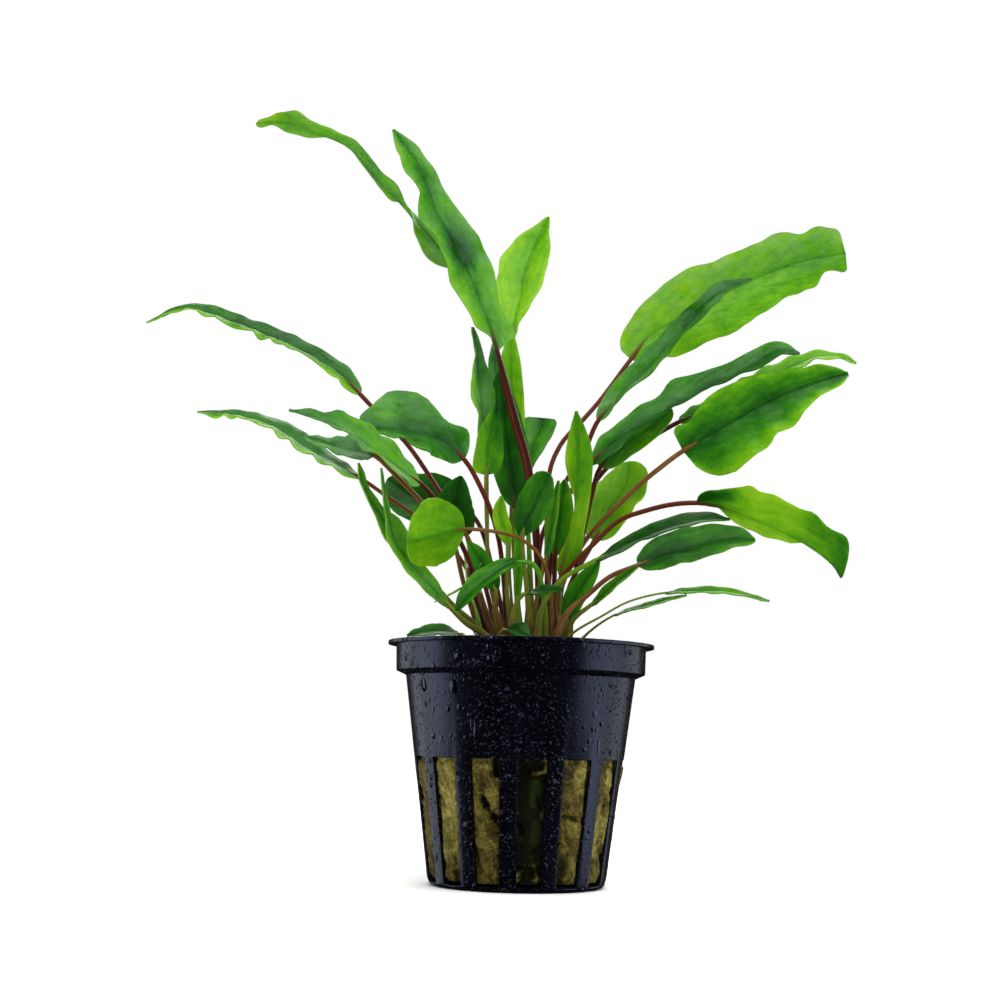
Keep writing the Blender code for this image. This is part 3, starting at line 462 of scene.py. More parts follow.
        5, 7.5, ((0, (0.2, -0.6, 0.75)),), low=(1, 1.3, 1.3, 1.2, 1.2, 1.1, 1, 1, 1, 1, 1),
        high=(1, 2.2, 2, 1.6, 1.2, 0.9, 0.6, 0.5, 0.5, 0.5, 1), glow=(0.36, 0.44), ruffle=(0.4, 4),
        bloom=(0.3, 0.4, 0.4)),
    "leaf_21": Leaf(
        ((-4.6, -9, 47), (-7.8, -11, 51.8), (-11.6, -13, 54), (-15.3, -14.6, 57.5), (-20.1, -16, 62.7),
         (-24.9, -18, 68.1), (-27.4, -19.5, 72.3), (-29.3, -20.5, 78.1), (-30.7, -21.5, 87)),
        3, 5.5, ((0, (0.6, -0.65, 0.4)),), low=(1, 1, 1, 1, 1, 1, 0.9, 0.4, 0.3, 0.3, 0.5),
        high=(1, 1, 1, 1, 1, 1, 0.9, 0.4, 0.3, 0.3, 0.5), glow=(0.5, 0.64, 0.7, 0.74), bloom=(0.2,),
        ruffle=(0.25, 5), red=0.15),
    "leaf_22": Leaf(
        ((-7, -2.8, 47), (-9.2, -4.6, 53), (-14.8, -7, 58), (-20.8, -9, 64.6), (-25.6, -11, 70.6),
         (-30.8, -13, 77.2), (-34.2, -15, 82.8), (-35.6, -16.5, 88)),
        3, 7.0, ((0, (0.6, -0.7, 0.4)),), low=(1, 1, 1, 1, 1, 0.8, 0.45, 0.4, 0.4, 0.5, 0.6),
        high=(1, 1, 1, 1, 1, 0.8, 0.45, 0.4, 0.4, 0.5, 0.6), glow=(0.56, 0.66, 0.68, 0.72), bloom=(0.15,),
        ruffle=(0.25, 4), red=0.15),
    "leaf_23": Leaf(
        ((-1.8, 6.6, 47), (-6, 9.5, 64), (-9.4, 12, 75), (-14.2, 14.5, 79.3), (-19.5, 17, 80.1),
         (-24.7, 19, 81.5), (-29.3, 20.5, 84.8)),
        3, 13.0, ((0, (0, -0.95, 0.3)),), shape=(0.4, 0.6), glow=(0.12, 0.2), ruffle=(0.4, 4), red=0.9),
    "leaf_24": Leaf(
        ((-4.4, 0.2, 47), (-9.4, -0.8, 62), (-12, -3, 72.8), (-14.4, -3.6, 79), (-13.6, -4, 85.6)),
        2, 8.5, ((0, (0.25, -0.95, 0.05)),), high=(0.8,), glow=(0.15, 0.2), ruffle=(0.3, 3)),
    "leaf_25": Leaf(
        ((6.1, -5.8, 47), (6.1, -8.9, 60), (4.6, -10, 66.8), (1.4, -11.4, 71), (-3.6, -12.6, 73.3),
         (-12.6, -14.6, 74.2), (-17.8, -18, 73.1), (-24.8, -25, 71.2)),
        5, 15.0, ((0, (0.1, 0.95, 0.3)), (1, (-0.3, 0.85, 0.4))), shape=(0.5, 0.5), high=(0.9,),
        glow=(0.6, 0.68, 0.62), ruffle=(0.4, 4), red=0.5, stem=0.6),
    "leaf_26": Leaf(
        ((-3, -6, 47), (-5.6, -6.2, 56), (-5.6, -6.6, 61), (-8.7, -7, 67), (-11.8, -7.4, 71.6)),
        2, 5.0, ((0, (0.4, -0.85, 0.3)),), glow=(0.3, 0.38), ruffle=(0.2, 2), red=0.3),
    # Leaves to the right
    "leaf_27": Leaf(
        ((6, -2.6, 47), (7.6, -3.2, 56), (8.2, -5, 64.8), (9.6, -7.6, 72), (11.3, -10.5, 79),
         (11.5, -12, 87), (11.4, -13, 94), (10.9, -14, 100.2)),
        2, 6.5, ((0, (0.2, 0.9, 0.2)),), low=(1, 1.1, 1.15, 0.85, 0.7, 0.8, 0.95, 1.1, 1.2, 1.1, 1),
        high=(1, 0.6, 0.2, 0.15, 0.15, 0.3, 0.7, 1.05, 1.15, 1.1, 1), glow=(0.74, 0.78, 0.6),
        light_tint=(-0.15, -0.1, 0, 0.05, 0.1), red=0.3),
    "leaf_28": Leaf(
        ((5, 6.9, 47), (5.2, 8, 66), (5, 9, 84), (7.4, 11, 92.4), (12.5, 12.5, 98.5), (16.6, 14, 103.5),
         (22.6, 16, 112), (26.6, 17, 117.2), (33.3, 18.5, 121.2), (42, 19.8, 126.6), (51.9, 21.2, 131.6),
         (60.6, 22.3, 134.8), (69, 23, 136.4)),
        6, 16.0, ((0, (-0.3, -1, -0.25)), (1, (-0.15, -1, -0.1))), shape=(0.28, 0.26),
        low=(1, 1, 0.95, 1.05, 1.1, 1.15, 1.15, 1.15, 1.15, 1.05, 0.95, 0.95, 0.95, 0.95, 0.95, 1.05, 1,
             0.9, 1.15, 1.2, 1.5),
        high=(1, 1, 1, 1.05, 1.05, 1.05, 1.05, 1.1, 1.15, 1.1, 1.05, 1, 1, 0.95, 0.9, 0.95, 0.95, 0.95, 0.6,
              0.7, 1.2), glow=(0.84, 0.8, 0.74, 0.72), light_tint=(0.04, 0, 0, -0.08, -0.1), ruffle=(0.3, 5),
        red=0.7, bloom=(0.42, 0.1, 0)),
    "leaf_29": Leaf(
        ((3.6, 3.6, 47), (3.2, 3.8, 60), (3.6, 4, 71), (5.6, 4.2, 77.4), (8.4, 4.6, 84), (12.6, 5.2, 91.2),
         (15.7, 6, 98.4), (21, 7, 104.5), (27, 8, 111.7), (33.2, 8.5, 118.5), (40.1, 8.5, 126.3),
         (48.4, 8, 130.4)),
        6, 9.6, ((0, (-0.7, -0.48, 0.54)), (1, (-0.65, -0.6, 0.45))), shape=(0.4, 0.7),
        low=(1, 1.5, 1.4, 1.2, 1, 1, 1.05, 1, 1, 1.6, 1),
        high=(1, 0.3, 0.35, 1.05, 1, 0.75, 0.8, 1.15, 1.3, 0.4, 1), glow=(0.48, 0.42, 0.28, 0.28),
        ruffle=(0.3, 5), bloom=(0.3, 0.2, 0.1), red=0.8),
    "leaf_30": Leaf(
        ((5.8, 3.6, 47), (5.6, 2.4, 62), (6.7, 1.6, 72), (8.8, 0.8, 80.4), (14.3, 0, 88.8), (18.6, 0, 93.6),
         (24, 0, 97.6), (36.2, 0, 104.9), (46.3, 0, 110.2), (54, 0, 114.6), (59, 0, 114)),
        4, 11.0, ((0, (-0.35, -0.6, 0.72)), (1, (-0.2, -0.6, 0.75))),
        low=(1, 1.1, 0.95, 0.95, 1, 1.5, 1.05, 1, 1, 1.6, 1),
        high=(1, 1, 0.5, 0.4, 0.45, 0.45, 0.45, 0.65, 0.95, 1.5, 1.5), glow=(0.4, 0.32, 0.26, 0.36),
        light_tint=(0.08, 0.04, 0, -0.14, -0.2), ruffle=(0.4, 6), bloom=(0.15, 0.12, 0.1), red=0.8),
    "leaf_31": Leaf(
        ((7.2, 7, 47), (8.4, 7.4, 62), (11, 8, 74), (13.4, 9, 81.6), (17.1, 10, 87.4), (22.2, 11, 91.9),
         (27.4, 12, 95), (33.2, 12.5, 98.4), (42.6, 13.5, 103), (52.7, 14, 109), (61.5, 14, 113),
         (66.9, 14, 113.5), (71.2, 14, 112)),
        7, 8.0, ((0, (-0.3, -0.7, 0.62)), (0.4, (-0.1, -0.5, 0.85))), shape=(0.36, 0.5),
        glow=(0.45, 0.5, 0.7, 0.75), ruffle=(0.5, 7), red=1.0),
    "leaf_32": Leaf(
        ((7.2, 0.2, 47), (7.9, 0.6, 60), (10.9, -1.6, 68.2), (15.4, -3.6, 75), (24.2, -6.5, 84),
         (29, -7.5, 88.2), (33.9, -8, 92), (41.7, -9.5, 97), (50.3, -10.5, 102.2), (59.6, -11.5, 106.6),
         (69.4, -12, 109.6)),
        6, 17.0, ((0, (-0.3, -1, 0)), (1, (-0.15, -1, 0.2))), shape=(0.28, 0.8), lean=0.15,
        low=(1, 0.65, 0.8, 1, 1, 1, 0.95, 1, 1.05, 1.5, 1.8),
        high=(1, 1.1, 1.05, 0.95, 0.95, 0.85, 1, 0.85, 0.75, 0.9, 1.4), glow=(0.36, 0.38, 0.36, 0.38),
        light_tint=(0.25, 0.04, -0.06, 0.02, 0.42), ruffle=(0.6, 6)),
    "leaf_33": Leaf(
        ((8.4, 3.6, 47), (9.6, 5, 61), (15.2, 7, 72.4), (18.2, 10, 79.6), (21.5, 14, 84.6),
         (22.5, 18, 89.5)),
        2, 12.5, ((0, (-0.35, -0.85, 0.4)),), shape=(0.45, 0.5), glow=(0.82, 0.84), red=0.6),
    "leaf_34": Leaf(
        ((7.9, -3.9, 47), (6.9, -7, 60.5), (9.8, -8, 66), (15.2, -9.7, 71.7), (20.3, -11, 76.6),
         (25.8, -12.5, 78.8), (31.4, -14.5, 80.3), (37, -16.4, 80.8), (41.5, -17.6, 80.4), (46.4, -18.6, 79),
         (51.8, -20, 77), (57, -21, 74.6), (62, -22, 71.8), (66, -23, 68.4), (67.7, -24, 65.4)),
        7, 12.0, ((0.35, (0.1, 0.6, 0.8)), (0.8, (0.75, 0.5, 0.4))), shape=(0.42, 0.55),
        low=(0.2, 0.1, 0.5, 0.8, 0.8, 0.65, 0.5, 0.1, 0.1, 0.15, 0.2),
        high=(1, 0.95, 1.05, 1.2, 1.15, 1.1, 1.15, 1.25, 1.45, 1.9, 1), glow=(0.3, 0.78, 0.8, 0.6, 0.42),
        ruffle=(0.5, 5), light_and_shade_patches=((0.12, 0.7, 0.12, 0.35, -0.6), (0.85, 0.8, 0.3, 0.4, -0.25)), red=0.7),
    "leaf_35": Leaf(
        ((3.2, -11.6, 47), (4, -12, 57), (8.2, -13.4, 63.6), (15.5, -15, 68), (21.7, -16.5, 71.6),
         (29.1, -18, 75), (36.6, -19, 77), (44, -19.5, 77.5)),
        3, 7.5, ((0, (-0.3, -0.4, 0.85)),), low=(1, 1, 1, 1, 1, 1.1, 1.2, 1.4, 1.7, 2, 1),
        glow=(0.1, 0.12, 0.3), ruffle=(0.2, 4), red=0.1),
    "leaf_36": Leaf(
        ((5.9, -10.5, 47), (9.4, -11.4, 56.4), (13.7, -10.6, 60.4), (18.6, -9.2, 64.6), (24.6, -7.6, 67.2),
         (30.2, -7.4, 70), (37.6, -8, 72), (43.6, -8.5, 73.3), (49.4, -9, 73)),
        4, 11.0, ((0, (-0.2, -0.7, 0.7)),), shape=(0.42, 0.6), glow=(0.32, 0.24, 0.3, 0.4),
        light_tint=(0, 0, -0.05, 0, 0.12), red=0.55),
    "leaf_37": Leaf(
        ((8.6, -7.6, 47), (10.5, -9.4, 54.7), (14.6, -11, 58.5), (19.5, -12.5, 63.2), (24.5, -13.5, 67)),
        2, 3.6, ((0, (-0.5, -0.5, 0.7)),), stalk=1.1, glow=(0.5, 0.6), ruffle=(0.1, 3), red=0.1),
    "leaf_38": Leaf(
        ((7.2, -12, 47), (10.8, -13.8, 52.4), (17, -16.4, 56.2), (22.7, -18.2, 59.4), (30.3, -19.8, 61.4),
         (39.4, -21, 62.1), (45.8, -21.5, 61.6), (52.4, -22, 60.2)),
        4, 4.5, ((0, (0, -0.35, 0.94)),), stalk=0.9, glow=(0.55, 0.65), ruffle=(0.2, 4), red=0.05,
        stem=0.5),
    "leaf_39": Leaf(
        ((10.2, -9.6, 47), (13.9, -9.8, 52.4), (19.7, -12, 56.5), (26.7, -14, 58.8), (34.8, -15.5, 61.1)),
        2, 3.6, ((0, (0, -0.35, 0.94)),), stalk=0.9, glow=(0.5,), ruffle=(0.1, 4), red=0.1, stem=0.5),
    "leaf_40": Leaf(
        ((9.2, -5.4, 47), (9.3, -7, 54.8), (10.7, -7.8, 59), (12.9, -8.2, 63), (16.2, -8.4, 67.8)),
        1, 4.8, ((0, (-0.3, -0.9, 0.2)),), glow=(0.42,), ruffle=(0.2, 3), red=0.1),
    # Young leaves among the stalks
    "leaf_41": Leaf(
        ((-0.9, -5.5, 47), (-3.2, -5.9, 60), (-3.3, -6.1, 71), (-5, -6, 77), (-4.8, -6.4, 81.4)),
        2, 3.6, ((0, (0.3, -0.9, 0.2)),), stalk=1.1, glow=(0.8,), ruffle=(0.1, 2), red=0.2),
    "leaf_42": Leaf(
        ((1.8, -3.2, 47), (3.2, -5.4, 60), (4.8, -6, 68), (6.2, -6.4, 77), (7.2, -7, 85)),
        2, 3.6, ((0, (-0.8, -0.5, 0.2)),), stalk=1.1, glow=(0.5,), ruffle=(0.1, 2), red=0.3),
    "leaf_43": Leaf(
        ((9.7, 0.4, 47), (10.8, 0.8, 62), (12.7, 1.6, 73.4), (14.5, 2.6, 82.1), (16.3, 3.4, 88.2),
         (21.2, 4, 92.9), (26.5, 4.2, 96.9), (31.4, 4.2, 101.2)),
        4, 8.5, ((0, (-0.3, -0.9, 0.2)),), shape=(0.4, 0.5), high=(1, 0.8, 0.8, 0.8, 1),
        glow=(0.55, 0.62, 0.55), bloom=(0.1,), red=0.9),
    "leaf_44": Leaf(
        ((5, 0.5, 47), (6.6, -0.8, 60), (6.9, -1.6, 69), (7.8, -2.4, 77.6), (8.6, -3, 85.2)),
        2, 6.0, ((0, (-0.2, -0.95, 0.1)),), glow=(0.55,), red=0.9),
}
print(f"{len(LEAVES)} leaves in the table")

# %% [markdown]
# ## The line that a leaf follows
# The route's points are given as the front shows them, each with its own depth, so a
# point further back is spread out from the eye. A Bezier curve could join them. Here
# a Catmull-Rom curve does, because it passes through every point and can be read by
# its length.

# %% Path of a leaf
FOOT_HEIGHT = 47.2
SAMPLES_PER_SPAN = 12
TIP_WIDTH = 0.7
LOOK_AHEAD = 0.7


def seen(across, depth, up):
    """Place a point that the front shows at (across, up) at its own depth."""
    spread = 1 + depth / EYE_DISTANCE
    return Vector((across * spread, depth, EYE_HEIGHT + (up - EYE_HEIGHT) * spread))


def catmull_rom(a, b, c, d, share):
    """A point between b and c on the smooth curve through a, b, c and d."""
    return 0.5 * (
        2 * b + (c - a) * share
        + (2 * a - 5 * b + 4 * c - d) * share ** 2
        + (3 * b - a - 3 * c + d) * share ** 3)


def smooth(low, high, value):
    """0 below low, 1 above high, smooth in between."""
    share = min(max((value - low) / (high - low), 0), 1)
    return share * share * (3 - 2 * share)


class Path:
    """A smooth curve through a leaf's route, read by length."""

    def __init__(self, route, foot=FOOT_HEIGHT):
        knots = [seen(*point) for point in route]
        knots[0].z = foot
        before = knots[0] * 2 - knots[1]
        after = knots[-1] * 2 - knots[-2]
        padded = [before, *knots, after]
        self.points = [knots[0]]
        self.knot_lengths = [0.0]
        self.lengths = [0.0]
        for index in range(len(knots) - 1):
            for sample in range(1, SAMPLES_PER_SPAN + 1):
                point = catmull_rom(*padded[index:index + 4], sample / SAMPLES_PER_SPAN)
                self.lengths.append(self.lengths[-1] + (point - self.points[-1]).length)
                self.points.append(point)
            self.knot_lengths.append(self.lengths[-1])

    def at(self, length):
        """The point at a length along the curve."""
        length = min(max(length, 0.0), self.lengths[-1])
        index = min(bisect.bisect_right(self.lengths, length), len(self.points) - 1)
        start = self.lengths[index - 1]
        share = (length - start) / (self.lengths[index] - start)
        return self.points[index - 1].lerp(self.points[index], share)

    def direction(self, length):
        """The unit tangent at a length along the curve."""
        return (self.at(length + LOOK_AHEAD) - self.at(length - LOOK_AHEAD)).normalized()


def face_at(faces, share):
    """The way a blade's upper side faces at a share of its length."""
    below = [stop for stop in faces if stop[0] <= share] or faces[:1]
    above = [stop for stop in faces if stop[0] > share] or faces[-1:]
    (low, start), (high, end) = below[-1], above[0]
    mixed = (share - low) / (high - low) if high > low else 0
    return Vector(start).normalized().lerp(Vector(end).normalized(), min(max(mixed, 0), 1))


def frame_at(leaf, path, length):
    """Across, upper side, along and centre of a leaf at a length."""
    start = path.knot_lengths[leaf.blade_start]
    share = (length - start) / (path.lengths[-1] - start)
    along = path.direction(length)
    face = face_at(leaf.faces, share)
    face = (face - along * face.dot(along)).normalized()
    return along.cross(face), face, along, path.at(length)


paths = {name: Path(leaf.route) for name, leaf in LEAVES.items()}
longest = max(paths, key=lambda name: paths[name].lengths[-1])
print(f"longest leaf {longest}: {paths[longest].lengths[-1]:.0f} mm along its line")

# %% [markdown]
# ## Blade
# The real blade is a third of a millimetre thick. It is folded a little along its
# midrib, puffed between its veins, and its edge is longer than its middle, which is
# why the edge waves. A flat grid takes all of that as plain sums on each vertex, and
# Solidify in bmesh closes it, with the new shell as the paler underside. The rows are
# closer at both ends, where the outline turns quickly. Two leaves are seen along
# their blades: their near edge hangs down in round lobes.

# %% Blade from a grid
BLADE_THICKNESS = 0.32
ROW_LENGTH = 0.95
LOBED_ROW_LENGTH = 0.5
COLUMNS = 20
END_CROWDING = 0.6
EDGE_CROWDING = 1.15
FOLD = 0.25
NARROWEST_TRIM = 0.08
UNDER, STALK = 1, 2
LAYERS = ("across", "along", "edge", "glow", "bloom", "red")


def blade_width(leaf, share):
    """Width of the blade at a share of its length: a lance shape."""
    base_power, tip_power = leaf.shape
    peak = base_power / (base_power + tip_power)
    highest = peak ** base_power * (1 - peak) ** tip_power
    lance = share ** base_power * (1 - share) ** tip_power / highest
    ends = leaf.stalk * (1 - share) + TIP_WIDTH * share
    return max(leaf.width * lance, ends)


def spread_over(values, place):
    """Read a row of evenly spaced values at a place from 0 to 1, without corners."""
    spot = min(max(place, 0), 1) * (len(values) - 1)
    index = min(int(spot), max(len(values) - 2, 0))
    near = [values[min(max(index + step, 0), len(values) - 1)] for step in (-1, 0, 1, 2)]
    return catmull_rom(*near, spot - index)


def lobe_at(leaf, share, phase):
    """How far the near edge hangs out in a lobe, from 0 at a notch to 1."""
    drift = noise.noise(Vector((share * 5, phase, 2)))
    return abs(math.sin(math.pi * leaf.lobes[1] * share + 2.2 * drift)) ** 1.4 * (0.9 + 0.8 * drift)


def green_and_painted_light_at(leaf, side, share):
    """Brightness of the green at a point of the blade: partly its own colour, partly painted light and
    shade.
    """
    glow = spread_over(leaf.glow, share) + spread_over(leaf.light_tint, (side + 1) / 2)
    # Painted patches of shade or light.
    for place, aside, reach, spread, change in leaf.light_and_shade_patches:
        glow += change * math.exp(-((share - place) / reach) ** 2 - ((side - aside) / spread) ** 2)
    return glow


def blade_height(leaf, side, share, half, along, phase):
    """How far a blade's point stands out of its flat plane, in millimetres."""
    opened = min(1, 3 * share)
    closing = smooth(0, 0.12, share) * smooth(0, 0.1, 1 - share)
    fold = FOLD * (math.sqrt(side * side + 0.02) - 0.5) * half
    puff = 0.05 * half * math.sin(math.pi * abs(side))
    height, waves = leaf.ruffle
    side_phase = phase + (1.9 if side > 0 else 0)
    wobble = 2.2 * noise.noise(Vector((share * 4, side_phase, 0)))
    strength = 0.6 + 0.7 * noise.noise(Vector((share * 6, side_phase, 5)))
    wave = math.sin(math.tau * waves * share + side_phase + wobble)
    edge = height * strength * wave * abs(side) ** 2.4 * closing
    if side < 0:
        edge -= leaf.lobes[0] * lobe_at(leaf, share, phase) * abs(side) ** 1.6 * closing
    quilt = 0.22 * noise.noise(Vector((side * half * 0.42, along * 0.3, phase))) * closing
    return opened * (fold + puff) + edge + quilt


def outline_at(leaf, side, share, phase, seed):
    """How much wider or narrower than its lance shape a blade is at a point."""
    uneven = 1 + 0.05 * noise.noise(Vector((share * 7, side * 0.5 + seed, 3)))
    uneven += 0.02 * noise.noise(Vector((share * 24, side * 0.5 + seed, 8)))
    if side < 0 and leaf.lobes[0]:
        uneven += 0.14 * (lobe_at(leaf, share, phase) - 0.6) * abs(side)
    return uneven * max(spread_over(leaf.high if side > 0 else leaf.low, share), NARROWEST_TRIM)


def make_blade(bm, layers, leaf, path, seed, phase):
    """Grow one blade as a grid, then close it with its underside."""
    start = path.knot_lengths[leaf.blade_start]
    blade = path.lengths[-1] - start
    rows = max(20, round(blade / (LOBED_ROW_LENGTH if leaf.lobes[0] else ROW_LENGTH)))
    grid = bmesh.ops.create_grid(bm, x_segments=COLUMNS, y_segments=rows, size=1)["verts"]
    frames = {}
    for vert in grid:
        side, step = vert.co.x, round((vert.co.y + 1) / 2, 5)
        if step not in frames:
            share = END_CROWDING * (0.5 - 0.5 * math.cos(math.pi * step)) + (1 - END_CROWDING) * step
            frames[step] = (share, *frame_at(leaf, path, start + share * blade))
        share, across, face, along, centre = frames[step]
        side = math.copysign(abs(side) ** EDGE_CROWDING, side)
        half = blade_width(leaf, share) / 2
        reach = (side + abs(side) * leaf.lean * min(1, 3 * share)) * half
        outline = outline_at(leaf, side, share, phase, seed)
        lift = blade_height(leaf, side, share, half, share * blade, phase)
        vert.co = centre + across * (reach * outline) + face * lift
        vert[layers["across"]] = side * half * outline
        vert[layers["along"]] = share * blade
        vert[layers["edge"]] = abs(side)
        # The brightness carries painted light and shade, and the grey sheen is painted.
        vert[layers["glow"]] = green_and_painted_light_at(leaf, side, share)
        vert[layers["bloom"]] = spread_over(leaf.bloom, (side + 1) / 2)
    bm.normal_update()
    upper = {face for vert in grid for face in vert.link_faces}
    shell = bmesh.ops.solidify(bm, geom=list(upper), thickness=BLADE_THICKNESS)["geom"]
    for item in shell:
        if isinstance(item, bmesh.types.BMFace):
            item.material_index = UNDER


# %% [markdown]
# ## Stalk and midrib
# The stalk is a round stem of little more than a millimetre. At its foot it widens
# into a flat sheath that wraps the crown, and at its top it runs on below the blade
# as the midrib, ever thinner. A curve with a bevel makes such a tube, but rings that
# are bridged allow a flat foot and a midrib that follows the folded blade's hollow.

# %% Stalk from rings
STALK_SIDES = 10
RING_LENGTH = 1.6
SHEATH_TOP = 15
MIDRIB_END = 0.94


def stalk_section(leaf, length, start, total):
    """Half width, half thickness and sink of the stem at a length."""
    radius = leaf.stalk / 2 * leaf.stem
    sheath = 1 - smooth(0, SHEATH_TOP, length)
    past = max(0, (length - start) / (total - start))
    slim = (1 - past) ** 1.6 * smooth(-0.2, 0.12, 1 - past)
    radius = radius * (1 - 0.62 * smooth(0, 0.22, past)) * max(slim, 0.12) if past else radius
    sink = 0.55 * radius * smooth(0, 0.12, past) + 0.14 * smooth(0, 0.1, past)
    return radius * (1 + sheath), radius * (1 + 0.3 * sheath), sink


def ring_at(bm, sides, radius, place):
    """A ring of vertices at a place, and the edges round it."""
    verts = bmesh.ops.create_circle(bm, segments=sides, radius=radius, matrix=place)["verts"]
    return verts, [bm.edges.get(pair) for pair in zip(verts, verts[1:] + verts[:1])]


def bridge_rings(bm, rings):
    """Join a row of rings into a closed tube and return its faces."""
    made = []
    for ring, following in zip(rings, rings[1:]):
        made += bmesh.ops.bridge_loops(bm, edges=ring + following)["faces"]
    for ring in (rings[0], rings[-1]):
        made += bmesh.ops.contextual_create(bm, geom=ring)["faces"]
    return made


def make_stalk(bm, layers, leaf, path, phase):
    """Grow one stem from the leaf's foot to the end of its midrib."""
    start = path.knot_lengths[leaf.blade_start]
    total = path.lengths[-1]
    end = start + (total - start) * MIDRIB_END
    count = max(8, round(end / RING_LENGTH))
    rings = []
    for ring_number in range(count + 1):
        length = end * ring_number / count
        across, face, along, centre = frame_at(leaf, path, length)
        wide, thick, sink = stalk_section(leaf, length, start, total)
        share = max(0, (length - start) / (total - start))
        half = blade_width(leaf, share) / 2
        sink -= blade_height(leaf, 0, share, half, share * (total - start), phase)
        turned_to = Matrix((across * wide, face * thick, along)).transposed().to_4x4()
        place = Matrix.Translation(centre - face * sink) @ turned_to
        verts, ring = ring_at(bm, STALK_SIDES, 1, place)
        for number, vert in enumerate(verts):
            turn = math.tau * number / STALK_SIDES
            vert[layers["across"]] = math.cos(turn)
            vert[layers["edge"]] = math.sin(turn)
            vert[layers["along"]] = length - start
            # The stalk takes the blade's brightness, painted light and shade included.
            vert[layers["glow"]] = spread_over(leaf.glow, share)
        rings.append(ring)
    for face in bridge_rings(bm, rings):
        face.material_index = STALK


def add_piece(name, bm, finishes, smooth_angle=50):
    """Turn a bmesh in millimetres into a finished piece, held inside the part's box."""
    bm.transform(Matrix.Scale(MM, 4))
    for vert in bm.verts:
        vert.co = [min(max(part, low), high) for part, low, high in zip(vert.co, cad_low, cad_high)]
    bmesh.ops.recalc_face_normals(bm, faces=bm.faces)
    mesh = bpy.data.meshes.new(name)
    bm.to_mesh(mesh)
    bm.free()
    mesh.shade_smooth()
    mesh.set_sharp_from_angle(angle=math.radians(smooth_angle))
    for finish in finishes:
        mesh.materials.append(finish)
    made = bpy.data.objects.new(name, mesh)
    bpy.context.scene.collection.objects.link(made)
    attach(made, "root")
    return made


print("blades and stalks can be made")

# %% [markdown]
# ## Leaf finishes
# A leaf of this plant is a waxy green skin over pale tissue. Its upper side is deep
# green with a cool shine, its underside is paler, and light from behind turns it
# yellow-green. Subsurface light could show that, but a blade is too thin for it, so
# a Translucent shader is mixed in. Some light is painted into the colour as well: the
# brightness that the mesh carries holds painted light and shade, and a painted grey
# sheen stands in for part of the shine. The pattern needs to follow the blade, so the
# mesh carries the distance from the midrib and along it, and the veins are drawn
# with those two.

# %% Upper side, underside and stalk
GREENS = (
    (0.0, colour(8, 56, 8)),
    (0.2, colour(20, 84, 12)),
    (0.42, colour(46, 116, 12)),
    (0.65, colour(82, 148, 12)),
    (0.85, colour(112, 170, 16)),
    (1.0, colour(138, 184, 30)),
)
# The grey of the painted sheen.
SHEEN_GREY = colour(112, 150, 112)


def blade_pattern(graph):
    """Vein relief, midrib mask and the brightness of the green at a point, with its painted light and shade.
    """
    across = graph.attribute("across")
    along = graph.attribute("along")
    edge = graph.attribute("edge")
    flat = graph.joined(across, along, graph.attribute("red") * 20)
    drift = graph.noise(flat, 0.35, 2)
    streaks = graph.noise(graph.stretched(flat, 0.9, 0.16, 1), 0.8, 3, 0.6) - 0.5
    arcs = abs(across) - along * 0.3 + drift * 2.2
    arcs = (arcs * (math.tau / 2.3)).sine() * 0.5 + 0.5
    links = along + abs(across) * 0.6 + drift * 4
    links = (links * (math.tau / 3.4)).sine() * 0.5 + 0.5
    cells = graph.noise(graph.stretched(flat, 1.3, 0.8, 1), 0.7, 3, 0.6)
    midrib = 1 - abs(across).between(0.15, 0.5)
    relief = arcs.between(0.0, 0.4) * 0.6 + links.between(0.0, 0.3) * 0.35 + cells * 0.9
    cloud = graph.noise(flat, 0.12, 2) - 0.5
    glow = graph.attribute("glow") + cloud * 0.5 + streaks * 0.4 + (cells - 0.5) * 0.3
    veins = (1 - arcs.between(0.0, 0.3)) * 0.04 + (1 - links.between(0.0, 0.2)) * 0.03
    beside = 1 - abs(across).between(0.4, 2.4)
    glow = glow + (edge ** 3) * 0.12 - veins - midrib * 0.12 - beside * 0.06
    return relief, midrib, glow.limited()


def leaf_finish(name, lift, roughness, glass, sheen):
    """A leaf side: lift makes it paler, glass lets light through."""
    graph = Graph(name)
    relief, midrib, glow = blade_pattern(graph)
    green = graph.ramp((glow + lift).limited(), GREENS)
    # This noise varies the roughness and breaks up the painted grey sheen.
    wax_film_and_sheen = graph.noise(graph.place(), 260, 3, 0.6)
    green = graph.mix(graph.attribute("bloom") * wax_film_and_sheen.between(0.3, 0.62), green, (*SHEEN_GREY, 1))
    height = relief * 0.00008 - midrib * 0.00012
    skin = graph.principled(
        Base_Color=green, Roughness=roughness + (wax_film_and_sheen - 0.5) * 0.2,
        Specular_IOR_Level=sheen, Normal=graph.bump(height, 1.0, 0.7))
    lit = graph.mix(0.3, green, (*colour(150, 200, 0), 1))
    through = graph.node("ShaderNodeBsdfTranslucent", {}, {"Color": lit})
    both = graph.node("ShaderNodeMixShader", {}, {0: glass, 1: skin, 2: through})
    return graph.finish(both)


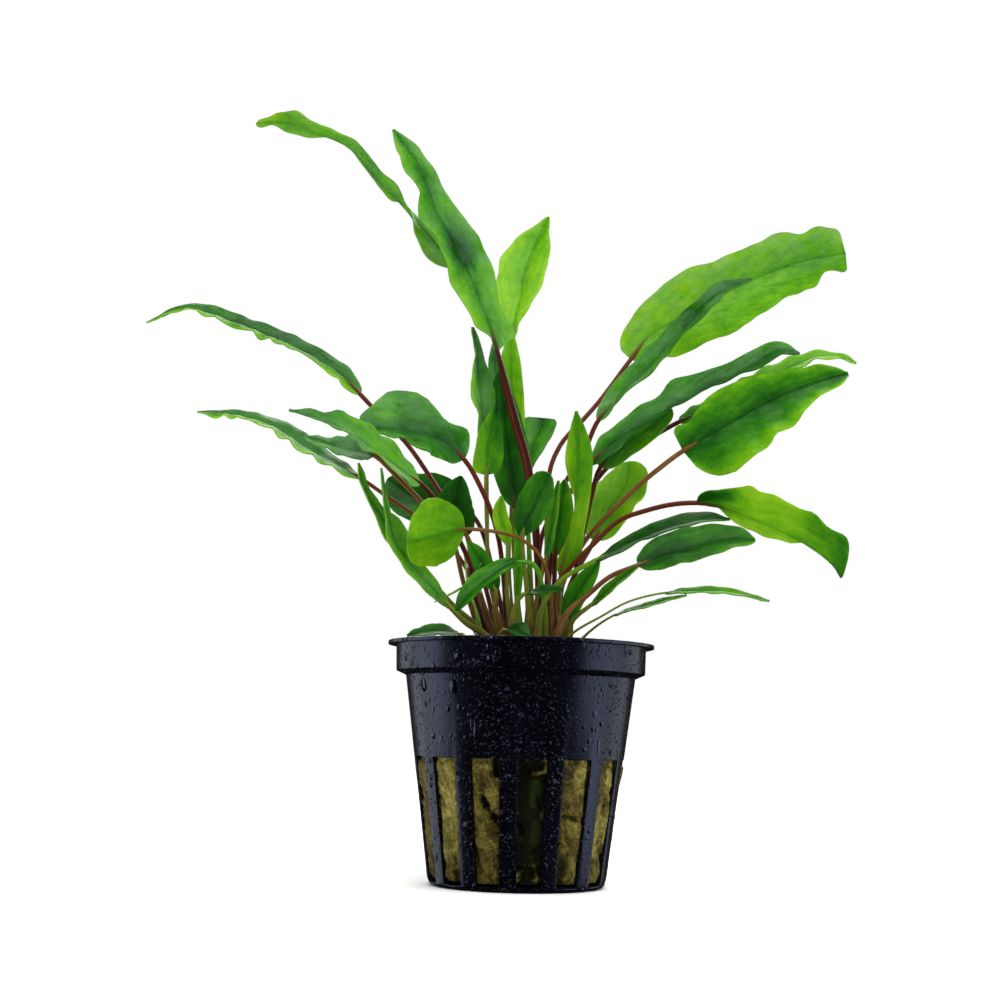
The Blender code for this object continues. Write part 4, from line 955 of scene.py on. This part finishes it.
def stalk_finish():
    """Red-brown stems, tan at the foot, green where they become the midrib."""
    graph = Graph("leaf_stalk")
    red = graph.attribute("red")
    along = graph.attribute("along")
    height = graph.parts(graph.place())[2] * 1000
    round_it = graph.joined(
        graph.attribute("across") * 1.3, graph.attribute("edge") * 1.3, along * 0.09 + red * 40)
    streak = graph.noise(round_it, 1.6, 3, 0.6)
    stem = graph.ramp((red + (streak - 0.5) * 0.7).limited(), (
        (0.0, colour(64, 128, 14)), (0.22, colour(98, 112, 24)), (0.42, colour(108, 80, 32)),
        (0.6, colour(90, 44, 14)), (0.8, colour(84, 26, 8)), (1.0, colour(52, 14, 4))))
    foot = graph.ramp((streak * 0.7 + red * 0.45 - 0.05).limited(), (
        (0.2, colour(60, 108, 12)), (0.34, colour(124, 116, 40)), (0.46, colour(82, 40, 12)),
        (0.56, colour(140, 108, 58)), (0.66, colour(66, 22, 6)), (0.82, colour(26, 12, 4))))
    low = graph.mix(1 - height.between(49, 66), stem, foot)
    # The midrib takes the blade's green, painted light and shade included.
    green = graph.ramp(graph.attribute("glow"), GREENS)
    shade = graph.mix(along.between(-2, 26), low, green)
    skin = graph.principled(
        Base_Color=shade, Roughness=0.4, Specular_IOR_Level=0.16,
        Normal=graph.bump(streak, 0.00025, 0.7))
    return graph.finish(skin)


leaf_finishes = [
    leaf_finish("leaf_upper_side", 0.0, 0.4, 0.3, 0.12),
    leaf_finish("leaf_underside", 0.1, 0.48, 0.38, 0.08),
    stalk_finish(),
]
print("leaf finishes:", ", ".join(finish.name for finish in leaf_finishes))

# %% [markdown]
# ## Growing the leaves
# Each leaf stands in for one solid of the part and takes its name. The brightness,
# with its painted light and shade, and the redness are on every vertex as plain
# numbers, so one set of materials serves all the leaves.

# %% Grow them all
triangles = 0
for number, (name, leaf) in enumerate(LEAVES.items()):
    bm = bmesh.new()
    layers = {layer: bm.verts.layers.float.new(layer) for layer in LAYERS}
    phase = random.Random(number).uniform(0, math.tau)
    make_blade(bm, layers, leaf, paths[name], number, phase)
    make_stalk(bm, layers, leaf, paths[name], phase)
    for vert in bm.verts:
        vert[layers["red"]] = leaf.red
    triangles += sum(len(face.verts) - 2 for face in bm.faces)
    piece = add_piece(f"grown_{name}", bm, leaf_finishes)
    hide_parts(name)
print(f"{len(LEAVES)} leaves, {triangles} triangles")

# %% [markdown]
# ## Pot
# The pot is one thin moulding: a flange, a collar with a step, a tapering wall and
# tall slots between 14 ribs. Cutting the slots with a Boolean would leave long thin
# faces along their edges, which spoil a bevel. So the closed section is spun with
# twelve steps to a rib, whole faces are taken out, inner and outer hole are bridged,
# and then every rim gets a small round edge, as a mould leaves it.

# %% Spin, open the slots and round the edges
SLOT_COUNT = 14
STEPS_PER_SLOT = 12
HOLE_FROM, HOLE_TO = 2, 10
RIB_WIDTH = 3.4
FOOT_RADIUS, FOOT_LEVEL = 18.6, 1.6
STEP_RADIUS, STEP_LEVEL = 24.1, 42.9
BASE_RADIUS = 16.2
SLOT_BOTTOM = 0.9
SLOT_TOP = 26.1
FIRST_RIB_ANGLE = math.radians(-5.6 - 90)
WALL = 1.0
ROUNDING = 0.16
CORNER_ANGLE = math.radians(24)
BENT_RIB, BENT_BY = 1, math.radians(-1.8)


def body_radius(height):
    """Outer radius of the tapering wall at a height."""
    share = (height - FOOT_LEVEL) / (STEP_LEVEL - FOOT_LEVEL)
    return FOOT_RADIUS + share * (STEP_RADIUS - FOOT_RADIUS)


POT_SECTION = (
    (0, 0), (17, 0), (18.15, 0.5), (18.31, SLOT_BOTTOM), (FOOT_RADIUS, FOOT_LEVEL),
    (body_radius(SLOT_TOP), SLOT_TOP), (STEP_RADIUS, STEP_LEVEL), (26.15, 43.8), (26.3, 49.2),
    (28, 49.2), (28, 50), (25.3, 50), (25.15, 44.3), (23.1, 43.4),
    (body_radius(SLOT_TOP) - WALL, SLOT_TOP), (body_radius(2.4) - WALL, 2.4), (16, 1.2), (0, 1.2))


def turned(section, steps):
    """Spin a section of (radius, height) points once round the Z axis."""
    bm = bmesh.new()
    verts = [bm.verts.new((radius, 0, height)) for radius, height in section]
    edges = [bm.edges.new(pair) for pair in zip(verts, verts[1:])]
    bmesh.ops.spin(
        bm, geom=verts + edges, cent=(0, 0, 0), axis=(0, 0, 1), dvec=(0, 0, 0),
        angle=math.tau, steps=steps, use_merge=True)
    bmesh.ops.remove_doubles(bm, verts=bm.verts, dist=0.001)
    bmesh.ops.recalc_face_normals(bm, faces=bm.faces)
    return bm


def turn_step(point, steps):
    """Which step of a spin a point lies on, as a number with its fraction."""
    return (math.atan2(point.y, point.x) % math.tau) / math.tau * steps


pot_steps = SLOT_COUNT * STEPS_PER_SLOT
pot = turned(POT_SECTION, pot_steps)
holes = []
for face in pot.faces:
    middle = face.calc_center_median()
    place = turn_step(middle, pot_steps) % STEPS_PER_SLOT
    in_height = SLOT_BOTTOM < middle.z < SLOT_TOP
    if in_height and middle.xy.length > BASE_RADIUS and HOLE_FROM < place < HOLE_TO:
        holes.append(face)
bmesh.ops.delete(pot, geom=holes, context="FACES")
rims = [[] for _ in range(SLOT_COUNT)]
for edge in pot.edges:
    if len(edge.link_faces) == 1:
        middle = (edge.verts[0].co + edge.verts[1].co) / 2
        rims[int(turn_step(middle, pot_steps) / STEPS_PER_SLOT)].append(edge)
for rim in rims:
    bmesh.ops.bridge_loops(pot, edges=rim)

slot_pitch = math.tau / SLOT_COUNT
for vert in pot.verts:
    radius = vert.co.xy.length
    if radius < 1:
        continue
    rib, step = divmod(round(turn_step(vert.co, pot_steps)) % pot_steps, STEPS_PER_SLOT)
    half_rib = math.asin(RIB_WIDTH / 2 / max(radius, 16))
    if step <= HOLE_FROM:
        swing = half_rib * step / HOLE_FROM
    elif step < HOLE_TO:
        swing = half_rib + (slot_pitch - 2 * half_rib) * (step - HOLE_FROM) / (HOLE_TO - HOLE_FROM)
    else:
        swing = slot_pitch - half_rib * (STEPS_PER_SLOT - step) / HOLE_FROM
    bend = smooth(0, 6, vert.co.z) * smooth(0, 6, SLOT_TOP - vert.co.z)
    near = rib if step < STEPS_PER_SLOT / 2 else (rib + 1) % SLOT_COUNT
    at_rib = abs(step - STEPS_PER_SLOT / 2) > 3
    bent = BENT_BY * bend if near == BENT_RIB and at_rib else 0
    angle = FIRST_RIB_ANGLE + rib * slot_pitch + swing + bent
    vert.co.xy = (radius * math.cos(angle), radius * math.sin(angle))

bmesh.ops.recalc_face_normals(pot, faces=pot.faces)
corners = [edge for edge in pot.edges if edge.is_manifold and edge.calc_face_angle() > CORNER_ANGLE]
bmesh.ops.bevel(
    pot, geom=corners, offset=ROUNDING, segments=2, profile=0.5, affect="EDGES",
    material=-1, clamp_overlap=True)
print(f"pot with {len(rims)} slots, {len(pot.faces)} faces")

# %% [markdown]
# ## Wet black plastic
# The plastic is a smooth navy black. It has just been rinsed, so it is covered in
# fine beads, and a few larger drops have begun to run. They are part of the finish
# and no pieces: a Voronoi texture gives each bead its centre and, with its random
# colour, its size, the distance makes the bead's dome, and the bump turns that into
# a glint. The larger drops are listed, as the same domes round given points.

# %% Plastic with beads and drops
DROPS = (
    ((-19.6, -13.6, 40.7), 1.1, 1.6), ((-13.4, -19.8, 40.3), 1.2, 1.6),
    ((-12.3, -23.1, 46.3), 1.0, 0.9), ((-8.4, -20.8, 31.3), 0.6, 2.2),
    ((-9.3, -20.5, 32.6), 0.35, 1.7), ((16.1, -15.3, 29.0), 0.45, 1.9),
    ((15.4, -16.2, 32.6), 0.4, 0.9), ((-17.3, -15.3, 36.0), 0.6, 0.6),
    ((18.6, -14.2, 36.4), 0.5, 0.5), ((6.4, -21.9, 36.2), 0.7, 0.5),
)
BEADS = ((0.55, 0.2, 0.2), (0.9, 0.34, 0.3), (1.9, 0.66, 0.5))


def beads(graph, place, spacing, largest, sparse):
    """Domes of beads, and where some of them carry a painted glint; sparse leaves some beads out."""
    spot = graph.stretched(place, 1 / spacing, 1 / spacing, 0.85 / spacing)
    distance = graph.node("ShaderNodeTexVoronoi", {}, {"Vector": spot, "Scale": 1.0}, "Distance")
    chance = graph.parts(graph.node("ShaderNodeTexVoronoi", {}, {"Vector": spot, "Scale": 1.0}, "Color"))
    size = (chance[0] * 0.5 + 0.5) * chance[1].between(sparse, sparse + 0.1) * (largest / spacing) + 0.001
    dome = (1 - (distance / size) ** 2).limited()
    return (dome ** 0.5) * size * (spacing * 1.1), dome * chance[2].between(0.7, 0.95)


def drop(graph, place, centre, wide, tall):
    """One larger drop: a low dome that is taller than it is wide, in millimetres."""
    away = graph.node("ShaderNodeVectorMath", {"operation": "SUBTRACT"}, {
        0: place, 1: tuple(part * MM for part in centre)})
    scaled = graph.stretched(away, 1 / (wide * MM), 1 / (wide * MM), 1 / (tall * MM))
    distance = graph.node("ShaderNodeVectorMath", {"operation": "LENGTH"}, {0: scaled}, "Value")
    dome = (1 - distance ** 2).limited()
    return (dome ** 0.5) * (wide * MM * 0.8)


def plastic_finish():
    graph = Graph("wet_black_plastic")
    place = graph.place()
    bent = graph.wobbled(place, 500.0, 1.0, 0.5 * MM)
    water, painted_glints = 0.0, 0.0
    for spacing, largest, sparse in BEADS:
        layer, lit = beads(graph, bent, spacing * MM, largest * MM, sparse)
        water = graph.math("MAXIMUM", layer, water)
        painted_glints = graph.math("MAXIMUM", lit, painted_glints)
    for centre, wide, tall in DROPS:
        water = graph.math("MAXIMUM", water, drop(graph, bent, centre, wide, tall))
    grain = graph.noise(place, 2500, 2)
    wet = water.between(0.0, 0.00004)
    dust = graph.noise(graph.stretched(place, 1, 1, 0.4), 160, 4, 0.6)
    body = graph.mix(dust.between(0.35, 0.75), (*colour(2, 2, 6), 1), (*colour(6, 7, 15), 1))
    # Painted glints: some beads get a bluish grey in their colour, as painted highlights.
    body = graph.mix(painted_glints * 0.32, body, (*colour(66, 72, 96), 1))
    skin = graph.principled(
        Base_Color=body, Roughness=0.27 + 0.08 * (dust - 0.5) - 0.16 * wet,
        Specular_IOR_Level=0.5, Specular_Tint=(0.66, 0.72, 1, 1),
        Normal=graph.bump(water + grain * 0.000005, 1.0, 0.9))
    return graph.finish(skin)


pot_piece = add_piece("slotted_pot", pot, [plastic_finish()], 40)
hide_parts("pot")
print("pot finished")

# %% [markdown]
# ## Mineral wool
# The plug is spun rock wool that the roots have filled. It was pressed into the pot,
# so it swells into every slot up to the outside of the wall, with lumps, slanting
# creases and hollows. One spun form with fine steps is pushed outwards where a
# slot gives it room, and noise makes the lumps. Hollows, pale places and moss are
# short lists of places on the wall: angle, height, half width, half height, strength
# and tilt. A hollow takes the wool back inside as well, and its shade is painted near
# black into the colour; the pale places are partly painted light.

# %% Swollen plug
WOOL_STEPS_PER_SLOT = 22
WOOL_LOW = 1.5
WOOL_TOP = 45.2
WOOL_ROW = 0.42
MIDDLE_RADIUS = 21
LUMP_ANGLE = math.radians(-8)
LUMP_HEIGHT = 23.5
HOLLOWS = (
    (-82.6, 13.5, 4.8, 17, 1.0, 0), (-101.6, 24.8, 1.8, 2.4, 1.0, 0), (-109.8, 17.6, 2.8, 0.95, 0.8, -64),
    (-103.2, 14.3, 1.9, 0.95, 0.8, -35), (-116.0, 7, 1.0, 2.4, 0.4, 0), (-61.5, 4.3, 2.4, 3.2, 0.6, 0),
    (-57, 14.8, 3.0, 0.8, 0.55, -12), (-29.2, 17.3, 1.2, 2.4, 0.65, 0), (-36, 4.5, 1.5, 2.2, 0.5, 0),
    (-131, 2.6, 1.6, 2, 0.6, 0), (-138, 5, 1.0, 1.6, 0.4, 0), (-56, 21, 3.0, 1.4, 0.25, 30),
    (35, 14, 3, 6, 0.8, 0), (88, 8, 3, 5, 0.8, 0), (112, 20, 2.4, 4, 0.7, 0), (165, 12, 3, 7, 0.6, 0))
# Places painted paler: partly the wool's own colour, partly painted light where light falls on it.
PALE_AND_LIT = (
    (-52.4, 23.7, 1.6, 2.2, 0.8, 0), (-27.0, 22.4, 2.6, 3.4, 0.6, 0), (-36.9, 10.8, 1.3, 5, 0.8, 0),
    (-134, 15, 4.0, 12, 0.6, 0), (-31.5, 13, 2.6, 5, 0.4, 0), (20, 12, 3, 8, 0.5, 0),
    (120, 9, 3, 6, 0.5, 0))
MOSS = (
    (-79.6, 20.5, 1.5, 3.2, 0.5, 0), (-78.6, 12.5, 1.3, 3.4, 0.4, 0), (-66, 22, 1.4, 2.4, 0.4, 0),
    (60, 18, 3, 5, 0.7, 0))


def inner_radius(height):
    """Where the wall's inner face holds the wool."""
    return body_radius(max(height, 2.4)) - WALL - 0.12


rows = [WOOL_LOW + WOOL_ROW * number for number in range(60)]
rows += [28.5, 31, 34, 37, 40, 43]
WOOL_SECTION = (
    (0, WOOL_LOW), (8, WOOL_LOW), (15.5, WOOL_LOW),
    *((inner_radius(row), row + 0.15) for row in rows),
    (22.2, 44.4), (21.4, 45.0), (19, WOOL_TOP), (16, WOOL_TOP), (13, WOOL_TOP), (9, WOOL_TOP),
    (5, WOOL_TOP), (0, WOOL_TOP))


def slot_room(angle, height):
    """How open the wall is in front of the wool, from 0 to 1."""
    from_rib = (angle - FIRST_RIB_ANGLE) % slot_pitch
    to_rib = min(from_rib, slot_pitch - from_rib) * body_radius(height)
    sideways = smooth(RIB_WIDTH / 2 - 0.1, RIB_WIDTH / 2 + 0.6, to_rib)
    return sideways * smooth(WOOL_LOW, WOOL_LOW + 1.4, height) * smooth(0.1, 1.5, SLOT_TOP - height)


def strongest(places, angle, height, ragged):
    """The strongest of a list of places at a point of the wall, from 0 to 1."""
    most = 0
    for middle, level, wide, tall, strength, tilt in places:
        aside = ((angle - math.radians(middle) + math.pi) % math.tau - math.pi) * MIDDLE_RADIUS
        cosine, sine = math.cos(math.radians(tilt)), math.sin(math.radians(tilt))
        along = abs(aside * cosine + (height - level) * sine) / wide
        across = abs((height - level) * cosine - aside * sine) / tall
        away = (along ** 3 + across ** 3) ** (1 / 3) + ragged
        most = max(most, strength * (1 - smooth(0.6, 1.1, away)))
    return most


wool = turned(WOOL_SECTION, SLOT_COUNT * WOOL_STEPS_PER_SLOT)
spots = {"hollow": HOLLOWS, "pale": PALE_AND_LIT, "moss": MOSS}
spot_layers = {name: wool.verts.layers.float.new(name) for name in spots}
for vert in wool.verts:
    radius = vert.co.xy.length
    if radius < 1:
        continue
    angle = math.atan2(vert.co.y, vert.co.x)
    outward = Vector((math.cos(angle), math.sin(angle), 0))
    lumps = noise.noise(Vector((vert.co.x * 0.22, vert.co.y * 0.22, vert.co.z * 0.1)))
    round_it = angle * MIDDLE_RADIUS
    slant = round_it + vert.co.z * 0.7
    creases = noise.noise(Vector((slant * 0.32, (round_it - vert.co.z) * 0.12, 9)))
    ragged = 0.5 * noise.noise(vert.co * 0.45) + 0.25 * noise.noise(vert.co * 1.3)
    for name, places in spots.items():
        vert[spot_layers[name]] = strongest(places, angle, vert.co.z, ragged)
    felt = noise.noise(vert.co * 1.1) * 0.2 + noise.noise(vert.co * 2.4) * 0.1
    at_slots = radius > 16 and vert.co.z < 27
    room_here = slot_room(angle, vert.co.z) if at_slots else 0
    push = room_here * (0.8 + 0.5 * lumps + felt - 1.1 * smooth(0.25, 0.5, creases))
    push -= (1.1 + room_here) * vert[spot_layers["hollow"]] if at_slots else 0
    aside = (angle - LUMP_ANGLE + math.pi) % math.tau - math.pi
    lump = 1 - min(1, math.hypot(aside * MIDDLE_RADIUS / 3.0, (vert.co.z - LUMP_HEIGHT) / 4.2))
    push += room_here * 0.55 * smooth(0, 0.7, lump)
    vert.co += outward * (push + (0 if room_here else 0.06 * felt))
    if vert.co.z > 44:
        vert.co.z -= 0.5 * abs(lumps) + 0.3 * abs(felt)
print(f"wool plug, {len(wool.faces)} faces")

# %% [markdown]
# ## Felted fibres
# Rock wool is a felt of glassy threads, khaki once it is wet, with moss where light
# comes in. The hollows are painted dark brown, as painted shade, and the pale places
# lighter, partly as painted light. The colour follows noise of three sizes, and the
# stretched one draws the threads, bent by the first one. Loose threads stand off the
# slots, because they show against the light. There are none in the hollows, which
# would hide them.

# %% Wool finish and loose threads
def wool_finish():
    graph = Graph("wet_mineral_wool")
    place = graph.place()
    cloud = graph.noise(place, 190, 4, 0.6)
    bent = graph.wobbled(place, 240.0, 2.0, 4 * MM)
    x, y, z = graph.parts(bent)
    threads = graph.noise(graph.joined(x + z * 0.45, y, z * 0.22), 1500, 3, 0.7)
    cross = graph.noise(graph.joined(x * 0.4, y * 0.4, z * 1.1 - x * 0.5), 1800, 3, 0.7)
    felt = threads * 0.65 + cross * 0.35
    hollow, pale, moss = (graph.attribute(name) for name in ("hollow", "pale", "moss"))
    # Pale places add painted light to the tone, as well as the wool's own paler colour.
    tone = cloud * 0.6 + (felt - 0.5) * 1.2 + 0.12 + pale * 0.2
    khaki = graph.ramp(tone, (
        (0.16, colour(26, 19, 6)), (0.34, colour(62, 52, 18)), (0.48, colour(92, 84, 32)),
        (0.64, colour(124, 116, 54)), (0.85, colour(164, 156, 100))))
    # Painted shade: the hollows are painted near black.
    painted_hollow_shade = graph.mix(hollow.between(0.1, 0.8) * 0.97, khaki, (*colour(12, 8, 2), 1))
    growth = graph.noise(place, 150, 3, 0.6).between(0.58, 0.68) * 0.5
    growth = graph.math("MAXIMUM", growth, (moss * (0.6 + cloud)).limited())
    # Moss in a hollow is painted darker, as painted shade.
    shade = graph.mix(growth, painted_hollow_shade, graph.mix(hollow, (*colour(44, 60, 14), 1), (*colour(34, 54, 10), 1)))
    skin = graph.principled(
        Base_Color=shade, Roughness=0.75, Specular_IOR_Level=0.1,
        Normal=graph.bump(felt * 0.0005 + cloud * 0.0009, 1.0, 0.9))
    return graph.finish(skin)


wool_skin = wool_finish()
wool_piece = add_piece("swollen_wool", wool, [wool_skin], 80)
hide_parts("mineral_wool")


def add_thread(bm, points, radius, sides=3):
    """Join small rings along a few points, thinner towards both ends."""
    rings = []
    for number, point in enumerate(points):
        before, after = points[max(number - 1, 0)], points[min(number + 1, len(points) - 1)]
        facing = (after - before).to_track_quat("Z", "Y").to_matrix().to_4x4()
        share = number / (len(points) - 1)
        thick = radius * (0.35 + 0.65 * math.sin(math.pi * min(max(share, 0.08), 0.92)))
        place = Matrix.Translation(point) @ facing
        rings.append(ring_at(bm, sides, thick, place)[1])
    bridge_rings(bm, rings)


THREADS = 240
THREAD_RADIUS = 0.045
chance = random.Random(11)
fibres = bmesh.new()
grown = 0
for _ in range(THREADS):
    slot_number = chance.randrange(SLOT_COUNT)
    first = FIRST_RIB_ANGLE + slot_number * slot_pitch
    angle = first + slot_pitch * chance.uniform(0.24, 0.76)
    height = chance.uniform(3, 24.5)
    heading = chance.uniform(0, math.tau)
    length = chance.uniform(1.4, 3.6)
    arch = chance.uniform(0.05, 0.45)
    points = []
    for step in range(5):
        share = step / 4
        spot = angle + math.cos(heading + share) * length * share / 22
        spot = min(max(spot, first + slot_pitch * 0.2), first + slot_pitch * 0.8)
        level = height + math.sin(heading + share) * length * share
        reach = body_radius(level) - 0.35 + arch * math.sin(math.pi * share)
        points.append(Vector((reach * math.cos(spot), reach * math.sin(spot), level)))
    if strongest(HOLLOWS, angle, height, 0) < 0.2:
        add_thread(fibres, points, THREAD_RADIUS)
        grown += 1
fibre_piece = add_piece("wool_threads", fibres, [wool_skin], 180)
print(f"{grown} loose threads")

# %% [markdown]
# ## Crown
# Below the leaves sits the rootstock, a short brown crown with old leaf scars. It
# shows from above and between the stalks. A spun cake with noise makes it.

# %% Crown
CROWN_SECTION = (
    (0, 45.5), (6, 45.5), (11, 45.5), (13.8, 45.5), (14.8, 45.9), (14.2, 46.4), (12.8, 46.8),
    (11.2, 46.8), (9.4, 46.8), (7.6, 46.8), (5.6, 46.8), (3.6, 46.8), (1.8, 46.8), (0, 46.8))
crown = turned(CROWN_SECTION, 84)
for vert in crown.verts:
    bulge = noise.noise(vert.co * 0.34) * 0.8 + noise.noise(vert.co * 0.9) * 0.35
    outward = vert.co.xy.length / 15
    vert.co.xy *= 1 + 0.06 * bulge
    if vert.co.z > 46:
        vert.co.z += bulge * 0.7 + 0.5 * (1 - outward)


def crown_finish():
    graph = Graph("crown_bark")
    place = graph.place()
    scars = graph.noise(graph.stretched(place, 1, 1, 2.5), 420, 4, 0.62)
    bark = graph.ramp(scars, (
        (0.3, colour(38, 24, 14)), (0.48, colour(84, 58, 34)), (0.62, colour(128, 98, 60)),
        (0.78, colour(92, 100, 44))))
    skin = graph.principled(
        Base_Color=bark, Roughness=0.7, Normal=graph.bump(scars, 0.0007, 0.9))
    return graph.finish(skin)


crown_piece = add_piece("lumpy_crown", crown, [crown_finish()], 80)
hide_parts("rootstock")
print("crown in place")

# %% [markdown]
# ## Roots and runners
# From the crown roots run out over the wool, and a few thin green runners stand
# beside the stalks. A curve with a bevel could make them, but they are as fine as the
# wool's threads, so the same rings make them, with more sides because they are thicker.

# %% Roots over the wool, and thin runners beside the stalks
ROOTS = 46
RUNNER_STEPS = 18
RUNNER_RADIUS = 0.26


def root_finish():
    graph = Graph("root_skin")
    streak = graph.noise(graph.place(), 700, 3, 0.6)
    shade = graph.ramp(streak, (
        (0.3, colour(120, 92, 52)), (0.5, colour(188, 168, 116)), (0.7, colour(214, 204, 166))))
    return graph.finish(graph.principled(Base_Color=shade, Roughness=0.55))


def runner_finish():
    graph = Graph("runner_green")
    streak = graph.noise(graph.place(), 500, 2)
    shade = graph.ramp(streak, ((0.3, colour(64, 120, 22)), (0.7, colour(128, 168, 60))))
    return graph.finish(graph.principled(Base_Color=shade, Roughness=0.45))


roots = bmesh.new()
for _ in range(ROOTS):
    angle = chance.uniform(0, math.tau)
    inner = chance.uniform(5, 12)
    outer = chance.uniform(16, 21.5)
    twist = chance.uniform(-0.7, 0.7)
    points = []
    for step in range(8):
        share = step / 7
        reach = inner + (outer - inner) * share
        spot = angle + twist * share + 0.12 * math.sin(share * 9 + twist * 4)
        level = 47.2 - 2.1 * smooth(0.1, 0.9, share) + 0.25 * math.sin(share * 11 + angle)
        points.append(Vector((reach * math.cos(spot), reach * math.sin(spot), level)))
    add_thread(roots, points, chance.uniform(0.22, 0.42), 6)
root_piece = add_piece("surface_roots", roots, [root_finish()], 60)

RUNNERS = (
    ((-7, -7, 47), (-9, -8, 55), (-11.5, -8.5, 62), (-12.5, -8.6, 69), (-14.6, -8.8, 76)),
    ((-8, -6.4, 47), (-10.4, -7.6, 53), (-14.6, -8.4, 57), (-18.6, -8.6, 61)),
    ((-7.6, -6, 47), (-9.6, -6.8, 56), (-10.4, -7.2, 63), (-8.8, -7.4, 67)),
    ((-18.6, -8.2, 58.4), (-14.8, -8.6, 60.4), (-11.6, -8.8, 62), (-8.6, -8.8, 60.6)),
)
runners = bmesh.new()
for route in RUNNERS:
    line = Path(route, seen(*route[0]).z)
    total = line.lengths[-1]
    points = [line.at(total * number / RUNNER_STEPS) for number in range(RUNNER_STEPS + 1)]
    add_thread(runners, points, RUNNER_RADIUS, 6)
runner_piece = add_piece("thin_runners", runners, [runner_finish()], 60)
print(f"{ROOTS} roots and {len(RUNNERS)} runners")

# %% [markdown]
# ## Size of the dressed part
# Each piece is held inside the box of the solids as it is made, and both boxes are
# printed at the end.

# %% Print both boxes
low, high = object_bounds()
sizes = {"cad": [list(cad_low), list(cad_high)], "visual": [list(low), list(high)]}
for name, corners_of in sizes.items():
    print(name, [[round(part / MM, 1) for part in corner] for corner in corners_of])
